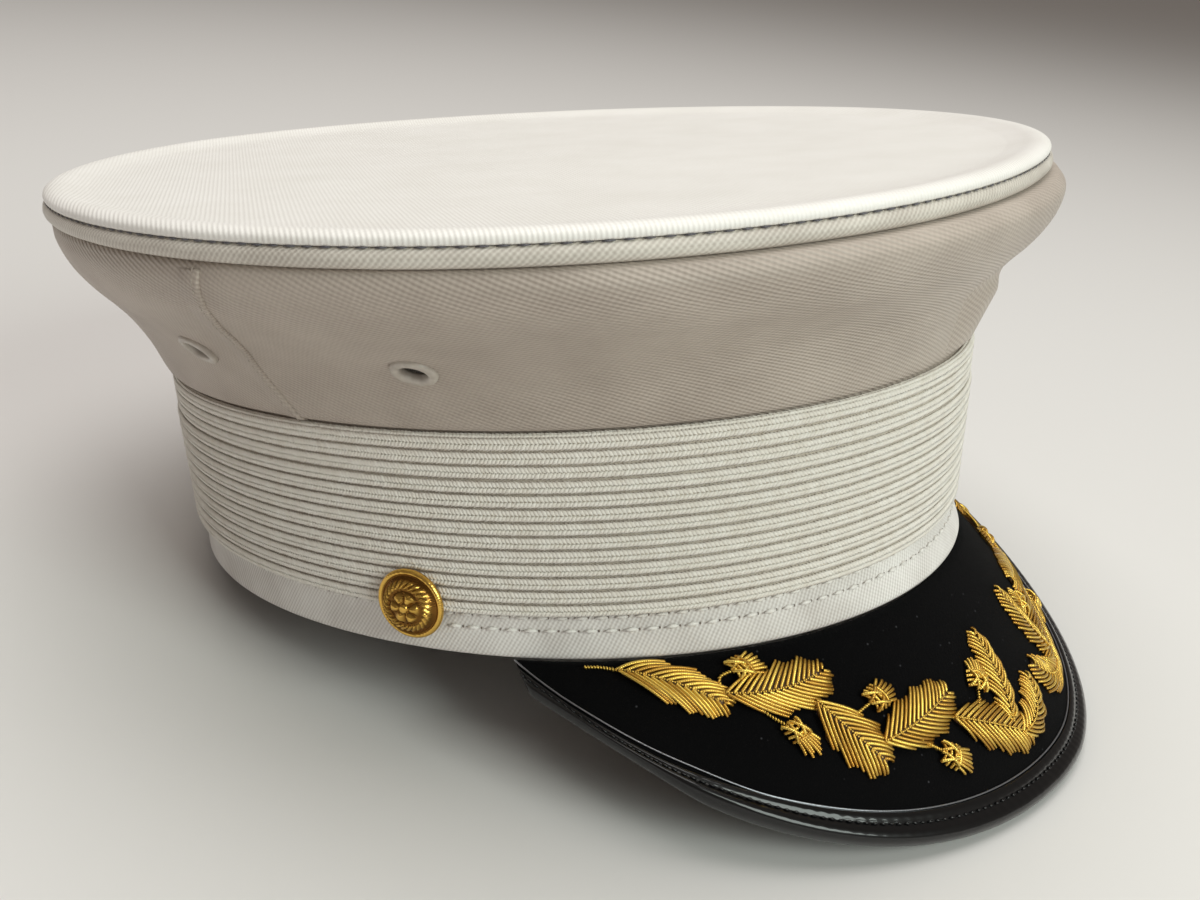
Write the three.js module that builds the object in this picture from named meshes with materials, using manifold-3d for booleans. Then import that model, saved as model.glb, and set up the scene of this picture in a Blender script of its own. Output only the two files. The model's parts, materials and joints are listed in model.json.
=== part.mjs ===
// White bell-crown peaked cap with a braided band and a black peak with gold oak sprays.
// Millimetres, +Z up. The front of the cap faces -Y and the wearer's right is -X.
// The pieces are built round the band, whose lower edge lies in the plane z = 0.
// At the end the whole cap is tipped to rest on the band's rear edge and the peak's rim.

import * as THREE from 'three';
import * as BufferGeometryUtils from 'three/addons/utils/BufferGeometryUtils.js';
import Module from 'manifold-3d';

const wasm = await Module();
wasm.setup();

// Gap between neighbouring pieces
const GAP = 0.3;

// Facets round the cap, and along the peak
const RING_STEPS = 44;
const PEAK_STEPS = 32;

// Band: a smooth coated wall with a ribbed braid wrapped over its upper part
const BAND_LENGTH = 210;
const BAND_WIDTH = 175.6;
const BAND_WALL = 2.0;
const BAND_SQUARENESS = 2.05;
const BAND_FRONT_LIFT = 0.8;
const BAND_TOP_HEIGHT = 47;
const BAND_TOP_RISE_TO_FRONT = 0.02;
const BAND_TOP_TAPER = 1.5;
const BAND_TOP_REAR_FLARE = 2;
const STRIP_HEIGHT = 10;
const STRIP_FLARE_FRONT = 3.4;
const STRIP_FLARE_SIDES = 0.6;
const BRAID_BASE = 0.9;
const BRAID_RIB_HEIGHT = 1.1;
const BRAID_RIBS = 13;
const BRAID_TOP_OVERLAP = 1.8;

// Crown: measured on the centre line of the piping round its top edge
const CROWN_WIDTH = 244;
const CROWN_FRONT_REACH = 119;
const CROWN_REAR_REACH = 123.5;
const CROWN_WIDEST_Y = -9;
const CROWN_HEIGHT = 92.6;
const CROWN_RISE_TO_FRONT = -0.02;
const CROWN_FRONT_SQUARENESS = 2.14;
const CROWN_REAR_SQUARENESS = 1.88;
const CROWN_WALL = 2.2;
const PIPING_RADIUS = 2.0;
const ROLL_HEIGHT = 3.2;

// Peak: a felt-covered board from the band's lower front edge to a rim in a sloping plane
const PEAK_RIM_HALF_WIDTH = 93;
const PEAK_RIM_REACH = 84.5;
const PEAK_RIM_CENTRE_Y = -61.2;
const PEAK_RIM_CENTRE_Z = -7.6;
const PEAK_RIM_SLOPE = THREE.MathUtils.degToRad(25.8);
const PEAK_RIM_DROOP = 3.4;
const PEAK_RIM_SQUARENESS = 1.8;
const PEAK_CORNER_ANGLE = THREE.MathUtils.degToRad(76);
const PEAK_CORNER_BLEND_START = THREE.MathUtils.degToRad(70);
const PEAK_THICKNESS = 2.4;
const PEAK_SEAM_GAP = 0.4;
const PEAK_CROWNING = 1.5;
const BINDING_WIDTH = 6.8;
const BOARD_INSET = 1.7;
const CORNER_INSET = 2.4;
const PEAK_CORNER_TRIM_START = THREE.MathUtils.degToRad(66);
const BINDING_LOWER_GAP = 0.6;
const PEAK_CORNER_SLIMMING = 0.5;
const PEAK_CORNER_SLIM_START = THREE.MathUtils.degToRad(60);

// Turned parts
const TURNED_STEPS = 12;
const BUTTON_STEPS = 16;
const BUTTON_RADIUS = 7.9;
const EYELET_RADIUS = 4.7;
const EYELET_HOLE_RADIUS = 2.7;

const COLOURS = {
  coatedTwill: { color: 0xeae6e2, roughness: 0.45, metalness: 0 },
  braid: { color: 0xf0ebe6, roughness: 0.8, metalness: 0 },
  felt: { color: 0x0b0b0d, roughness: 0.95, metalness: 0 },
  patentLeather: { color: 0x08080a, roughness: 0.15, metalness: 0 },
  bullion: { color: 0xd9a021, roughness: 0.35, metalness: 0.9 },
  gilt: { color: 0xc8962e, roughness: 0.25, metalness: 1 },
  paintedMetal: { color: 0xeeeae6, roughness: 0.4, metalness: 0.1 },
};

// Power that keeps the sign, for superellipses
function signedPower(value, exponent) {
  return Math.sign(value) * Math.abs(value) ** exponent;
}

// Cross-sections of the cap as seen from above, one for each named level
const BAND_LOWER_EDGE = {
  halfWidth: BAND_WIDTH / 2,
  frontReach: BAND_LENGTH / 2,
  rearReach: BAND_LENGTH / 2,
  widestY: 0,
  height: 0,
  riseToFront: 0,
  frontLift: BAND_FRONT_LIFT,
  frontSquareness: BAND_SQUARENESS,
  rearSquareness: BAND_SQUARENESS,
};
const BAND_TOP_EDGE = {
  ...BAND_LOWER_EDGE,
  halfWidth: BAND_WIDTH / 2 - BAND_TOP_TAPER,
  rearReach: BAND_LENGTH / 2 + BAND_TOP_REAR_FLARE,
  height: BAND_TOP_HEIGHT,
  riseToFront: BAND_TOP_RISE_TO_FRONT,
  frontLift: 0,
};
const PIPING_LINE = {
  halfWidth: CROWN_WIDTH / 2,
  frontReach: CROWN_FRONT_REACH,
  rearReach: CROWN_REAR_REACH,
  widestY: CROWN_WIDEST_Y,
  height: CROWN_HEIGHT,
  riseToFront: CROWN_RISE_TO_FRONT,
  frontLift: 0,
  frontSquareness: CROWN_FRONT_SQUARENESS,
  rearSquareness: CROWN_REAR_SQUARENESS,
};

// The same section, moved outwards and upwards
function shifted(section, outwards, upwards) {
  return {
    ...section,
    halfWidth: section.halfWidth + outwards,
    frontReach: section.frontReach + outwards,
    rearReach: section.rearReach + outwards,
    height: section.height + upwards,
  };
}

// A section between two others: rise sets its height, and the flares how far it has spread
// at the sides, the front and the rear
function between(lower, upper, rise, sides, front = sides, rear = sides) {
  const mix = (key, share) => lower[key] + (upper[key] - lower[key]) * share;
  return {
    halfWidth: mix('halfWidth', sides),
    frontReach: mix('frontReach', front),
    rearReach: mix('rearReach', rear),
    widestY: mix('widestY', sides),
    frontSquareness: mix('frontSquareness', sides),
    rearSquareness: mix('rearSquareness', sides),
    height: mix('height', rise),
    riseToFront: mix('riseToFront', rise),
    frontLift: mix('frontLift', rise),
  };
}

// Narrowest level of the band, where the flared strip meets the braid
const BAND_WAIST = narrowed(
  between(BAND_LOWER_EDGE, BAND_TOP_EDGE, STRIP_HEIGHT / BAND_TOP_HEIGHT,
    STRIP_HEIGHT / BAND_TOP_HEIGHT));

function narrowed(section) {
  return {
    ...section,
    halfWidth: section.halfWidth - STRIP_FLARE_SIDES,
    frontReach: section.frontReach - STRIP_FLARE_FRONT,
    rearReach: section.rearReach - STRIP_FLARE_SIDES,
  };
}

// The band's outer face at a height above its lower edge
function bandAt(height) {
  if (height < STRIP_HEIGHT) {
    const share = height / STRIP_HEIGHT;
    return between(BAND_LOWER_EDGE, BAND_WAIST, share, share);
  }
  const share = (height - STRIP_HEIGHT) / (BAND_TOP_HEIGHT - STRIP_HEIGHT);
  return between(BAND_WAIST, BAND_TOP_EDGE, share, share);
}

// A point of a section; angle 0 is the wearer's left, a quarter turn is the rear
function sectionPoint(section, angle) {
  const atFront = Math.sin(angle) < 0;
  const power = 2 / (atFront ? section.frontSquareness : section.rearSquareness);
  const across = signedPower(Math.cos(angle), power);
  const along = signedPower(Math.sin(angle), power);
  const end = atFront ? -section.frontReach : section.rearReach;
  const y = section.widestY + (end - section.widestY) * Math.abs(along);
  return new THREE.Vector3(
    section.halfWidth * across,
    y,
    section.height - section.riseToFront * y + section.frontLift * Math.max(0, -along) ** 3,
  );
}

// Closed surface from a grid of points that wraps both ways
function wrappedSolid(rows) {
  const columns = rows[0].length;
  const positions = rows.flat().flatMap((point) => point.toArray());
  const indices = [];
  rows.forEach((row, i) => {
    const next = (i + 1) % rows.length;
    for (let j = 0; j < columns; j += 1) {
      const k = (j + 1) % columns;
      indices.push(i * columns + j, i * columns + k, next * columns + k);
      indices.push(i * columns + j, next * columns + k, next * columns + j);
    }
  });
  return indexedGeometry(positions, indices);
}

function indexedGeometry(positions, indices) {
  const geometry = new THREE.BufferGeometry();
  geometry.setAttribute('position', new THREE.Float32BufferAttribute(positions, 3));
  geometry.setIndex(indices);
  geometry.computeVertexNormals();
  return geometry;
}

// Ring whose cross-section runs through the given sections, outer face upwards first
function ringSolid(sections) {
  const rows = sections.map((section) => {
    const row = [];
    for (let step = 0; step < RING_STEPS; step += 1) {
      row.push(sectionPoint(section, (step / RING_STEPS) * 2 * Math.PI));
    }
    return row;
  });
  return wrappedSolid(rows);
}

// Closed mesh to solid and back, for the cuts and joins
function toSolid(geometry) {
  const bare = geometry.clone();
  bare.deleteAttribute('normal');
  bare.deleteAttribute('uv');
  const merged = BufferGeometryUtils.mergeVertices(bare, 1e-4);
  return new wasm.Manifold(new wasm.Mesh({
    numProp: 3,
    vertProperties: new Float32Array(merged.attributes.position.array),
    triVerts: new Uint32Array(merged.index.array),
  }));
}

function fromSolid(solid) {
  const mesh = solid.getMesh();
  return indexedGeometry(Array.from(mesh.vertProperties), Array.from(mesh.triVerts));
}

function named(name, geometry, colours) {
  const mesh = new THREE.Mesh(geometry, new THREE.MeshStandardMaterial({ ...colours }));
  mesh.name = name;
  return mesh;
}

// Band wall
function bandBody() {
  return named('band_body', ringSolid([
    BAND_LOWER_EDGE,
    BAND_WAIST,
    BAND_TOP_EDGE,
    shifted(BAND_TOP_EDGE, -BAND_WALL, 0),
    shifted(BAND_WAIST, -BAND_WALL, 0),
    shifted(BAND_LOWER_EDGE, -BAND_WALL, 0),
  ]), COLOURS.coatedTwill);
}

// Braid round the band: rounded ribs, as crest and groove rows
function bandBraid() {
  const lower = BAND_WAIST;
  const upper = shifted(BAND_TOP_EDGE, 0, BRAID_TOP_OVERLAP);
  const rows = [];
  for (let rib = 0; rib < BRAID_RIBS; rib += 1) {
    const groove = rib / BRAID_RIBS;
    const crest = (rib + 0.5) / BRAID_RIBS;
    rows.push(shifted(between(lower, upper, groove, groove), GAP + BRAID_BASE, 0));
    rows.push(shifted(between(lower, upper, crest, crest), GAP + BRAID_BASE + BRAID_RIB_HEIGHT, 0));
  }
  rows.push(shifted(upper, GAP + BRAID_BASE, 0));
  rows.push(shifted(upper, GAP + 0.1, 0));
  rows.push(shifted(lower, GAP + 0.1, 0));
  return named('band_braid', ringSolid(rows), COLOURS.braid);
}

// Crown wall: outline rows from the band's top edge to the shoulder under the piping
const CROWN_PROFILE = [
  { rise: 0.00, sides: 0.00, front: 0.00, rear: 0.00 },
  { rise: 0.05, sides: 0.00, front: 0.00, rear: 0.00 },
  { rise: 0.08, sides: 0.06, front: 0.04, rear: 0.25 },
  { rise: 0.26, sides: 0.20, front: 0.22, rear: 0.42 },
  { rise: 0.42, sides: 0.38, front: 0.42, rear: 0.58 },
  { rise: 0.54, sides: 0.57, front: 0.72, rear: 0.70 },
  { rise: 0.65, sides: 0.77, front: 1.06, rear: 0.80 },
  { rise: 0.76, sides: 0.93, front: 1.28, rear: 0.90 },
  { rise: 0.87, sides: 1.02, front: 1.36, rear: 0.98 },
  { rise: 0.94, sides: 1.02, front: 1.24, rear: 1.02 },
];

// Rows of the profile that the wall's inner face follows
const INNER_ROWS = [0, 2, 3, 4, 6, 7, 9];

const CROWN_FOOT = shifted(BAND_TOP_EDGE, -0.1, GAP);

function crownWallRow(row) {
  return between(CROWN_FOOT, PIPING_LINE, row.rise, row.sides, row.front, row.rear);
}

// The crown wall's outline at any share of its rise
function crownWallAt(rise) {
  const above = CROWN_PROFILE.findIndex((row) => row.rise > rise);
  const lower = CROWN_PROFILE[above - 1];
  const upper = CROWN_PROFILE[above];
  const share = (rise - lower.rise) / (upper.rise - lower.rise);
  const mix = (key) => lower[key] + (upper[key] - lower[key]) * share;
  return crownWallRow({ rise, sides: mix('sides'), front: mix('front'), rear: mix('rear') });
}

// Small turn either side of a seat, to find the direction round the cap
const SEAT_TURN = 0.01;

// Where a turned part sits: on the line between the wall's points just below and above it
function seatOn(sectionAt, angle, level, span) {
  const below = sectionPoint(sectionAt(level - span), angle);
  const above = sectionPoint(sectionAt(level + span), angle);
  const before = sectionPoint(sectionAt(level), angle - SEAT_TURN);
  const after = sectionPoint(sectionAt(level), angle + SEAT_TURN);
  const axis = after.sub(before).cross(above.clone().sub(below)).normalize();
  return { point: below.lerp(above, 0.5), axis };
}

// Vent holes: turned from the side towards the front or the rear, at a share of the rise
const VENTS = [
  { name: 'eyelet_left_front', angle: THREE.MathUtils.degToRad(-12.6), rise: 0.41 },
  { name: 'eyelet_left_rear', angle: THREE.MathUtils.degToRad(16.4), rise: 0.41 },
  { name: 'eyelet_right_rear', angle: THREE.MathUtils.degToRad(180 - 16.4), rise: 0.41 },
  { name: 'eyelet_right_front', angle: THREE.MathUtils.degToRad(180 + 12.6), rise: 0.41 },
];
const VENT_HOLE_RADIUS = 3.9;
const VENT_SPAN = 0.08;
const VENT_CUT_INWARDS = -6;
const VENT_CUT_OUTWARDS = 4;

// Lip that tucks under the piping: outwards from its line, and up from the gap below it
const CROWN_LIP = [
  { out: -0.4, up: 0 },
  { out: -4.5, up: 1.2 },
  { out: -5.5, up: -0.8 },
  { out: -2.6, up: -2.6 },
];

// Rings of points round an axis, one for each row of radius and height above the seat
function turnedRings(rows, seat, segments) {
  const turn = new THREE.Quaternion().setFromUnitVectors(new THREE.Vector3(0, 0, 1), seat.axis);
  return rows.map((row) => {
    const ring = [];
    for (let step = 0; step < segments; step += 1) {
      const angle = (step / segments) * 2 * Math.PI;
      const point = new THREE.Vector3(row.r * Math.cos(angle), row.r * Math.sin(angle), row.h);
      ring.push(point.applyQuaternion(turn).add(seat.point));
    }
    return ring;
  });
}

function onAxis(seat, height) {
  return seat.point.clone().addScaledVector(seat.axis, height);
}

function crownSide() {
  const outer = CROWN_PROFILE.map(crownWallRow);
  const inner = INNER_ROWS.map((i) => shifted(outer[i], -CROWN_WALL, 0)).reverse();
  const lip = CROWN_LIP.map((row) => shifted(PIPING_LINE, row.out, row.up - PIPING_RADIUS - GAP));
  let wall = toSolid(ringSolid([...outer, ...lip, ...inner]));
  for (const vent of VENTS) {
    const seat = seatOn(crownWallAt, vent.angle, vent.rise, VENT_SPAN);
    const rings = turnedRings([
      { r: VENT_HOLE_RADIUS, h: VENT_CUT_INWARDS },
      { r: VENT_HOLE_RADIUS, h: VENT_CUT_OUTWARDS },
    ], seat, TURNED_STEPS);
    const cutter = poledSolid(
      onAxis(seat, VENT_CUT_INWARDS), rings, onAxis(seat, VENT_CUT_OUTWARDS));
    wall = wall.subtract(toSolid(cutter));
  }
  return named('crown_side', fromSolid(wall), COLOURS.coatedTwill);
}

// Eyelet: a rounded flange outside the wall and a barrel through it
const EYELET_PROFILE = [
  { r: 3.4, h: -2.9 },
  { r: 3.4, h: 0.4 },
  { r: EYELET_RADIUS, h: 0.5 },
  { r: EYELET_RADIUS - 0.5, h: 1.2 },
  { r: 3.3, h: 1.2 },
  { r: EYELET_HOLE_RADIUS, h: 0.5 },
  { r: EYELET_HOLE_RADIUS, h: -2.9 },
];

function eyelet(vent) {
  const seat = seatOn(crownWallAt, vent.angle, vent.rise, VENT_SPAN);
  const rings = turnedRings(EYELET_PROFILE, seat, TURNED_STEPS);
  return named(vent.name, wrappedSolid(rings), COLOURS.paintedMetal);
}

// Smooth stay down the front centre, straight from the braid to the crown's shoulder
const STAY_HALF_ANGLE = THREE.MathUtils.degToRad(2.6);
const STAY_THICKNESS = 1.2;
const STAY_LOWER = { rise: 0.08, flare: 0.07 };
const STAY_UPPER = { rise: 0.50, flare: 0.66 };
const STAY_STEPS = 2;

function frontStay() {
  const edge = (row, outwards) => shifted(
    between(CROWN_FOOT, PIPING_LINE, row.rise, row.flare), outwards, 0);
  const sections = [
    edge(STAY_UPPER, GAP),
    edge(STAY_UPPER, GAP + STAY_THICKNESS),
    edge(STAY_LOWER, GAP + STAY_THICKNESS),
    edge(STAY_LOWER, GAP),
  ];
  const stations = [];
  for (let step = 0; step <= STAY_STEPS; step += 1) {
    const angle = -Math.PI / 2 + (step / STAY_STEPS * 2 - 1) * STAY_HALF_ANGLE;
    stations.push(sections.map((section) => sectionPoint(section, angle)));
  }
  const profile = sections.map((section) => new THREE.Vector2(section.frontReach, section.height));
  return named('front_stay', cappedBar(stations, profile), COLOURS.coatedTwill);
}

const PIPING_SIDES = 6;

// Covered cord in the seam between the crown's wall and its top
function crownPiping() {
  const rows = [];
  for (let side = 0; side < PIPING_SIDES; side += 1) {
    const turn = (side / PIPING_SIDES) * 2 * Math.PI;
    rows.push(shifted(PIPING_LINE, PIPING_RADIUS * Math.cos(turn), PIPING_RADIUS * Math.sin(turn)));
  }
  return named('crown_piping', ringSolid(rows), COLOURS.coatedTwill);
}

// Crown top: a flat oval with a padded roll at its edge, as rows from the rim to the middle
const CROWN_TOP_ROWS = [
  { out: -3.6, up: 1.3 },
  { out: -1.2, up: 2.2 },
  { out: 0.9, up: 3.4 },
  { out: 0.2, up: 4.8 },
  { out: -2.6, up: ROLL_HEIGHT },
  { out: -8.0, up: ROLL_HEIGHT - 0.1 },
];
const CROWN_TOP_THICKNESS = 2.4;
const CROWN_TOP_SAG = 1.2;

// Surface closed at two poles: rings of points between a first and a last point
function poledSolid(first, rings, last) {
  const columns = rings[0].length;
  const positions = [first, ...rings.flat(), last].flatMap((point) => point.toArray());
  const lastIndex = 1 + rings.length * columns;
  const indices = [];
  for (let j = 0; j < columns; j += 1) {
    const k = (j + 1) % columns;
    indices.push(0, 1 + k, 1 + j);
    for (let i = 0; i + 1 < rings.length; i += 1) {
      const a = 1 + i * columns;
      const b = a + columns;
      indices.push(a + j, a + k, b + k, a + j, b + k, b + j);
    }
    const end = lastIndex - columns;
    indices.push(end + j, end + k, lastIndex);
  }
  return indexedGeometry(positions, indices);
}

function ringPoints(section) {
  const points = [];
  for (let step = 0; step < RING_STEPS; step += 1) {
    points.push(sectionPoint(section, (step / RING_STEPS) * 2 * Math.PI));
  }
  return points;
}

function crownTop() {
  const inside = shifted(PIPING_LINE, -CROWN_WIDTH / 4, 0);
  const middleY = (CROWN_REAR_REACH - CROWN_FRONT_REACH) / 2;
  const middle = new THREE.Vector3(
    0, middleY, CROWN_HEIGHT + ROLL_HEIGHT - CROWN_TOP_SAG - CROWN_RISE_TO_FRONT * middleY);
  const sections = [
    shifted(inside, 0, ROLL_HEIGHT - CROWN_TOP_THICKNESS - CROWN_TOP_SAG),
    shifted(PIPING_LINE, -7.0, ROLL_HEIGHT - CROWN_TOP_THICKNESS - 0.6),
    ...CROWN_TOP_ROWS.map((row) => shifted(PIPING_LINE, row.out, row.up)),
    shifted(inside, 0, ROLL_HEIGHT - CROWN_TOP_SAG),
  ];
  const under = middle.clone();
  under.z -= CROWN_TOP_THICKNESS;
  return named('crown_top', poledSolid(under, sections.map(ringPoints), middle), COLOURS.coatedTwill);
}

// Peak outlines; angle 0 is the middle of the front
function bandEdgePoint(angle, inset) {
  const section = shifted(BAND_LOWER_EDGE, -inset, -PEAK_SEAM_GAP);
  return sectionPoint(section, angle - Math.PI / 2);
}

function rimPoint(angle) {
  const corner = bandEdgePoint(Math.sign(angle) * PEAK_CORNER_ANGLE, 0);
  const reach = PEAK_RIM_REACH * signedPower(Math.cos(angle), 2 / PEAK_RIM_SQUARENESS);
  const point = new THREE.Vector3(
    PEAK_RIM_HALF_WIDTH * signedPower(Math.sin(angle), 2 / PEAK_RIM_SQUARENESS),
    PEAK_RIM_CENTRE_Y - reach * Math.cos(PEAK_RIM_SLOPE),
    PEAK_RIM_CENTRE_Z - reach * Math.sin(PEAK_RIM_SLOPE) - PEAK_RIM_DROOP * Math.sin(2 * angle) ** 2,
  );
  const share = THREE.MathUtils.smoothstep(Math.abs(angle), PEAK_CORNER_BLEND_START, Math.PI / 2);
  return point.lerp(corner, share ** 2);
}

// Widths of the peak between which its crowning sets in
const PEAK_FLAT_WIDTH = 20;
const PEAK_CROWNED_WIDTH = 45;

// Point of the peak's upper face: share 0 at the band, 1 at the rim
function peakPoint(angle, share) {
  const inner = bandEdgePoint((angle / (Math.PI / 2)) * PEAK_CORNER_ANGLE, PEAK_SEAM_GAP);
  const outer = rimPoint(angle);
  const point = inner.clone().lerp(outer, share);
  const ruling = outer.clone().sub(inner);
  const fullness = THREE.MathUtils.clamp(
    (ruling.length() - PEAK_FLAT_WIDTH) / (PEAK_CROWNED_WIDTH - PEAK_FLAT_WIDTH), 0, 1);
  point.z += PEAK_CROWNING * Math.sin(Math.PI * share) * fullness;
  return point;
}

// Outward normal of the upper face
function peakNormal(angle, share) {
  const step = 1e-3;
  const along = peakPoint(angle + step, share).sub(peakPoint(angle - step, share));
  const across = peakPoint(angle, share + step).sub(peakPoint(angle, share - step));
  return across.cross(along).normalize();
}

// Normal read clear of the two edges
function clearNormal(angle, share) {
  return peakNormal(angle, THREE.MathUtils.clamp(share, 0.05, 0.95));
}

// The angles end short of the corners, where the board would have no width
const PEAK_END = THREE.MathUtils.degToRad(84);

function peakAngles() {
  const angles = [];
  for (let step = 0; step <= PEAK_STEPS; step += 1) {
    angles.push((step / PEAK_STEPS * 2 - 1) * PEAK_END);
  }
  return angles;
}

// Bar whose closed cross-section is given for each station, with flat ends
function bar(stations) {
  const columns = stations[0].length;
  const positions = stations.flat().flatMap((point) => point.toArray());
  const indices = [];
  for (let i = 0; i + 1 < stations.length; i += 1) {
    for (let j = 0; j < columns; j += 1) {
      const k = (j + 1) % columns;
      const a = i * columns;
      const b = a + columns;
      indices.push(a + j, a + k, b + k, a + j, b + k, b + j);
    }
  }
  return { positions, indices, columns, count: stations.length };
}

// Closes both ends of a bar with the triangles of its cross-section
function cappedBar(stations, profile) {
  const { positions, indices, columns, count } = bar(stations);
  const faces = THREE.ShapeUtils.triangulateShape(profile, []);
  const end = (count - 1) * columns;
  for (const [a, b, c] of faces) {
    indices.push(a, b, c);
    indices.push(end + a, end + c, end + b);
  }
  return indexedGeometry(positions, indices);
}

const FELT_SHARES = [0, 0.25, 0.5, 0.75, 1];

// Share of the full thickness that the peak keeps towards its corners
function slimming(angle) {
  return 1 - PEAK_CORNER_SLIMMING * THREE.MathUtils.smoothstep(
    Math.abs(angle), PEAK_CORNER_SLIM_START, PEAK_END);
}

// Width of the peak from the band to the rim
function peakWidth(angle) {
  return peakPoint(angle, 0).distanceTo(peakPoint(angle, 1));
}

function peakBoard() {
  const face = (depth) => FELT_SHARES.map((share) => ({ share, depth }));
  const rows = [...face(0), ...face(PEAK_THICKNESS).reverse()];
  const profile = rows.map(({ share, depth }) => new THREE.Vector2(
    share * PEAK_RIM_REACH, PEAK_CROWNING * Math.sin(Math.PI * share) - depth));
  const stations = peakAngles().map((angle) => {
    const inset = BOARD_INSET + CORNER_INSET * THREE.MathUtils.smoothstep(
      Math.abs(angle), PEAK_CORNER_TRIM_START, PEAK_END);
    const trimmed = 1 - inset / peakWidth(angle);
    return rows.map(({ share, depth }) => {
      const normal = clearNormal(angle, share * trimmed);
      return peakPoint(angle, share * trimmed).addScaledVector(normal, -depth * slimming(angle));
    });
  });
  return named('peak_board', cappedBar(stations, profile), COLOURS.felt);
}

// Cross-section of the binding: inwards from the rim, and up from the board's upper face
const BINDING_PROFILE = [
  { inwards: BINDING_WIDTH, up: GAP },
  { inwards: BINDING_WIDTH, up: GAP + 0.7 },
  { inwards: 3.2, up: GAP + 1.2 },
  { inwards: 0.9, up: GAP + 0.8 },
  { inwards: 0, up: -0.4 },
  { inwards: 0, up: -2.0 },
  { inwards: 0.9, up: -3.6 },
  { inwards: 5.2, up: -4.0 },
  { inwards: 5.2, up: -PEAK_THICKNESS - BINDING_LOWER_GAP },
  { inwards: 1.3, up: -PEAK_THICKNESS - BINDING_LOWER_GAP },
  { inwards: 1.3, up: GAP },
];

function peakBinding() {
  const profile = BINDING_PROFILE.map((row) => new THREE.Vector2(-row.inwards, row.up));
  const stations = peakAngles().map((angle) => {
    const width = peakWidth(angle);
    return BINDING_PROFILE.map((row) => {
      const share = 1 - row.inwards / width;
      const normal = clearNormal(angle, share);
      const up = row.up < 0 ? row.up * slimming(angle) : row.up;
      return peakPoint(angle, share).addScaledVector(normal, up);
    });
  });
  return named('peak_binding', cappedBar(stations, profile), COLOURS.patentLeather);
}

const PEAK_ARC_STEPS = 168;

// Arc length along the middle of the peak from its front centre, with the angle it belongs to
const PEAK_ARC = peakArc();

function peakArc() {
  const rows = [];
  let length = 0;
  let last = null;
  for (let step = 0; step <= PEAK_ARC_STEPS; step += 1) {
    const angle = (step / PEAK_ARC_STEPS * 2 - 1) * PEAK_END;
    const point = peakPoint(angle, 0.5);
    length += last ? point.distanceTo(last) : 0;
    last = point;
    rows.push({ angle, length });
  }
  return rows.map((row) => ({ angle: row.angle, length: row.length - length / 2 }));
}

function peakAngleAt(length) {
  const above = Math.max(1, PEAK_ARC.findIndex((row) => row.length > length));
  const lower = PEAK_ARC[above - 1];
  const upper = PEAK_ARC[above];
  const share = (length - lower.length) / (upper.length - lower.length);
  return lower.angle + (upper.angle - lower.angle) * share;
}

// Embroidery on the wearer's right, laid out flat: s runs along the peak from the front centre,
// c outwards from the band
const LEAVES = [
  { base: [-102.5, 3.4], middle: [-92.4, 7.6], tip: [-84.8, 13.8], halfWidth: 6.6 },
  { base: [-83.4, 10.8], middle: [-71.4, 11.5], tip: [-58.6, 9.0], halfWidth: 6.5 },
  { base: [-65.0, 15.7], middle: [-61.6, 24.0], tip: [-57.2, 32.4], halfWidth: 7.1 },
  { base: [-55.4, 27.8], middle: [-44.2, 26.3], tip: [-31.6, 23.6], halfWidth: 6.2 },
  { base: [-35.0, 29.2], middle: [-25.4, 35.2], tip: [-15.4, 42.4], halfWidth: 6.0 },
  { base: [-19.5, 37.4], middle: [-14.8, 28.4], tip: [-12.2, 16.6], halfWidth: 4.2 },
  { base: [-18.2, 40.8], middle: [-8.8, 39.4], tip: [-3.2, 33.0], halfWidth: 4.4 },
];
const TWIGS = [
  [[-109.0, 2.4], [-105.5, 2.4], [-102.0, 3.4], [-98.6, 5.0]],
  [[-88.0, 11.0], [-84.6, 12.6], [-79.5, 11.2]],
  [[-70.5, 12.0], [-66.5, 14.4], [-63.8, 18.6]],
  [[-60.6, 26.0], [-57.0, 27.8], [-51.5, 27.4]],
  [[-42.0, 25.8], [-37.0, 28.0], [-32.0, 31.0]],
  [[-22.0, 38.0], [-19.6, 37.2], [-17.6, 34.0]],
  [[-21.5, 38.4], [-18.0, 40.6], [-13.6, 40.8]],
  [[-83.6, 12.4], [-82.4, 6.8], [-76.4, 4.8]],
  [[-79.5, 11.6], [-77.2, 16.8], [-73.6, 21.0]],
  [[-61.2, 22.0], [-56.4, 20.2], [-50.8, 18.6]],
  [[-49.2, 27.0], [-45.4, 31.4], [-41.4, 35.6]],
  [[-29.0, 32.6], [-25.4, 30.0], [-21.6, 25.6]],
];
const ACORNS = [
  { centre: [-75.4, 4.7], towards: [2.2, -0.5] },
  { centre: [-73.0, 22.4], towards: [0.8, 2.0] },
  { centre: [-49.8, 18.3], towards: [2.2, -0.6] },
  { centre: [-40.6, 36.4], towards: [1.8, 1.6] },
  { centre: [-20.9, 24.6], towards: [1.6, -1.7] },
];
const EMBROIDERY_LIFT = 0.45;
const LEAF_EDGE_HEIGHT = 1.1;
const LEAF_RIB_HEIGHT = 2.0;
const TWIG_HALF_WIDTH = 0.6;
const TWIG_HEIGHT = 1.4;
const ACORN_HALF_LENGTH = 3.1;
const ACORN_HALF_WIDTH = 2.4;
const ACORN_HALF_HEIGHT = 1.1;
const ACORN_STEPS = 6;

// Half-width of an oak leaf from base to tip, as a share of its widest lobe
const LEAF_LOBES = [0.18, 0.58, 0.52, 0.92, 0.70, 1.0, 0.72, 0.76, 0.24];

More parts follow.
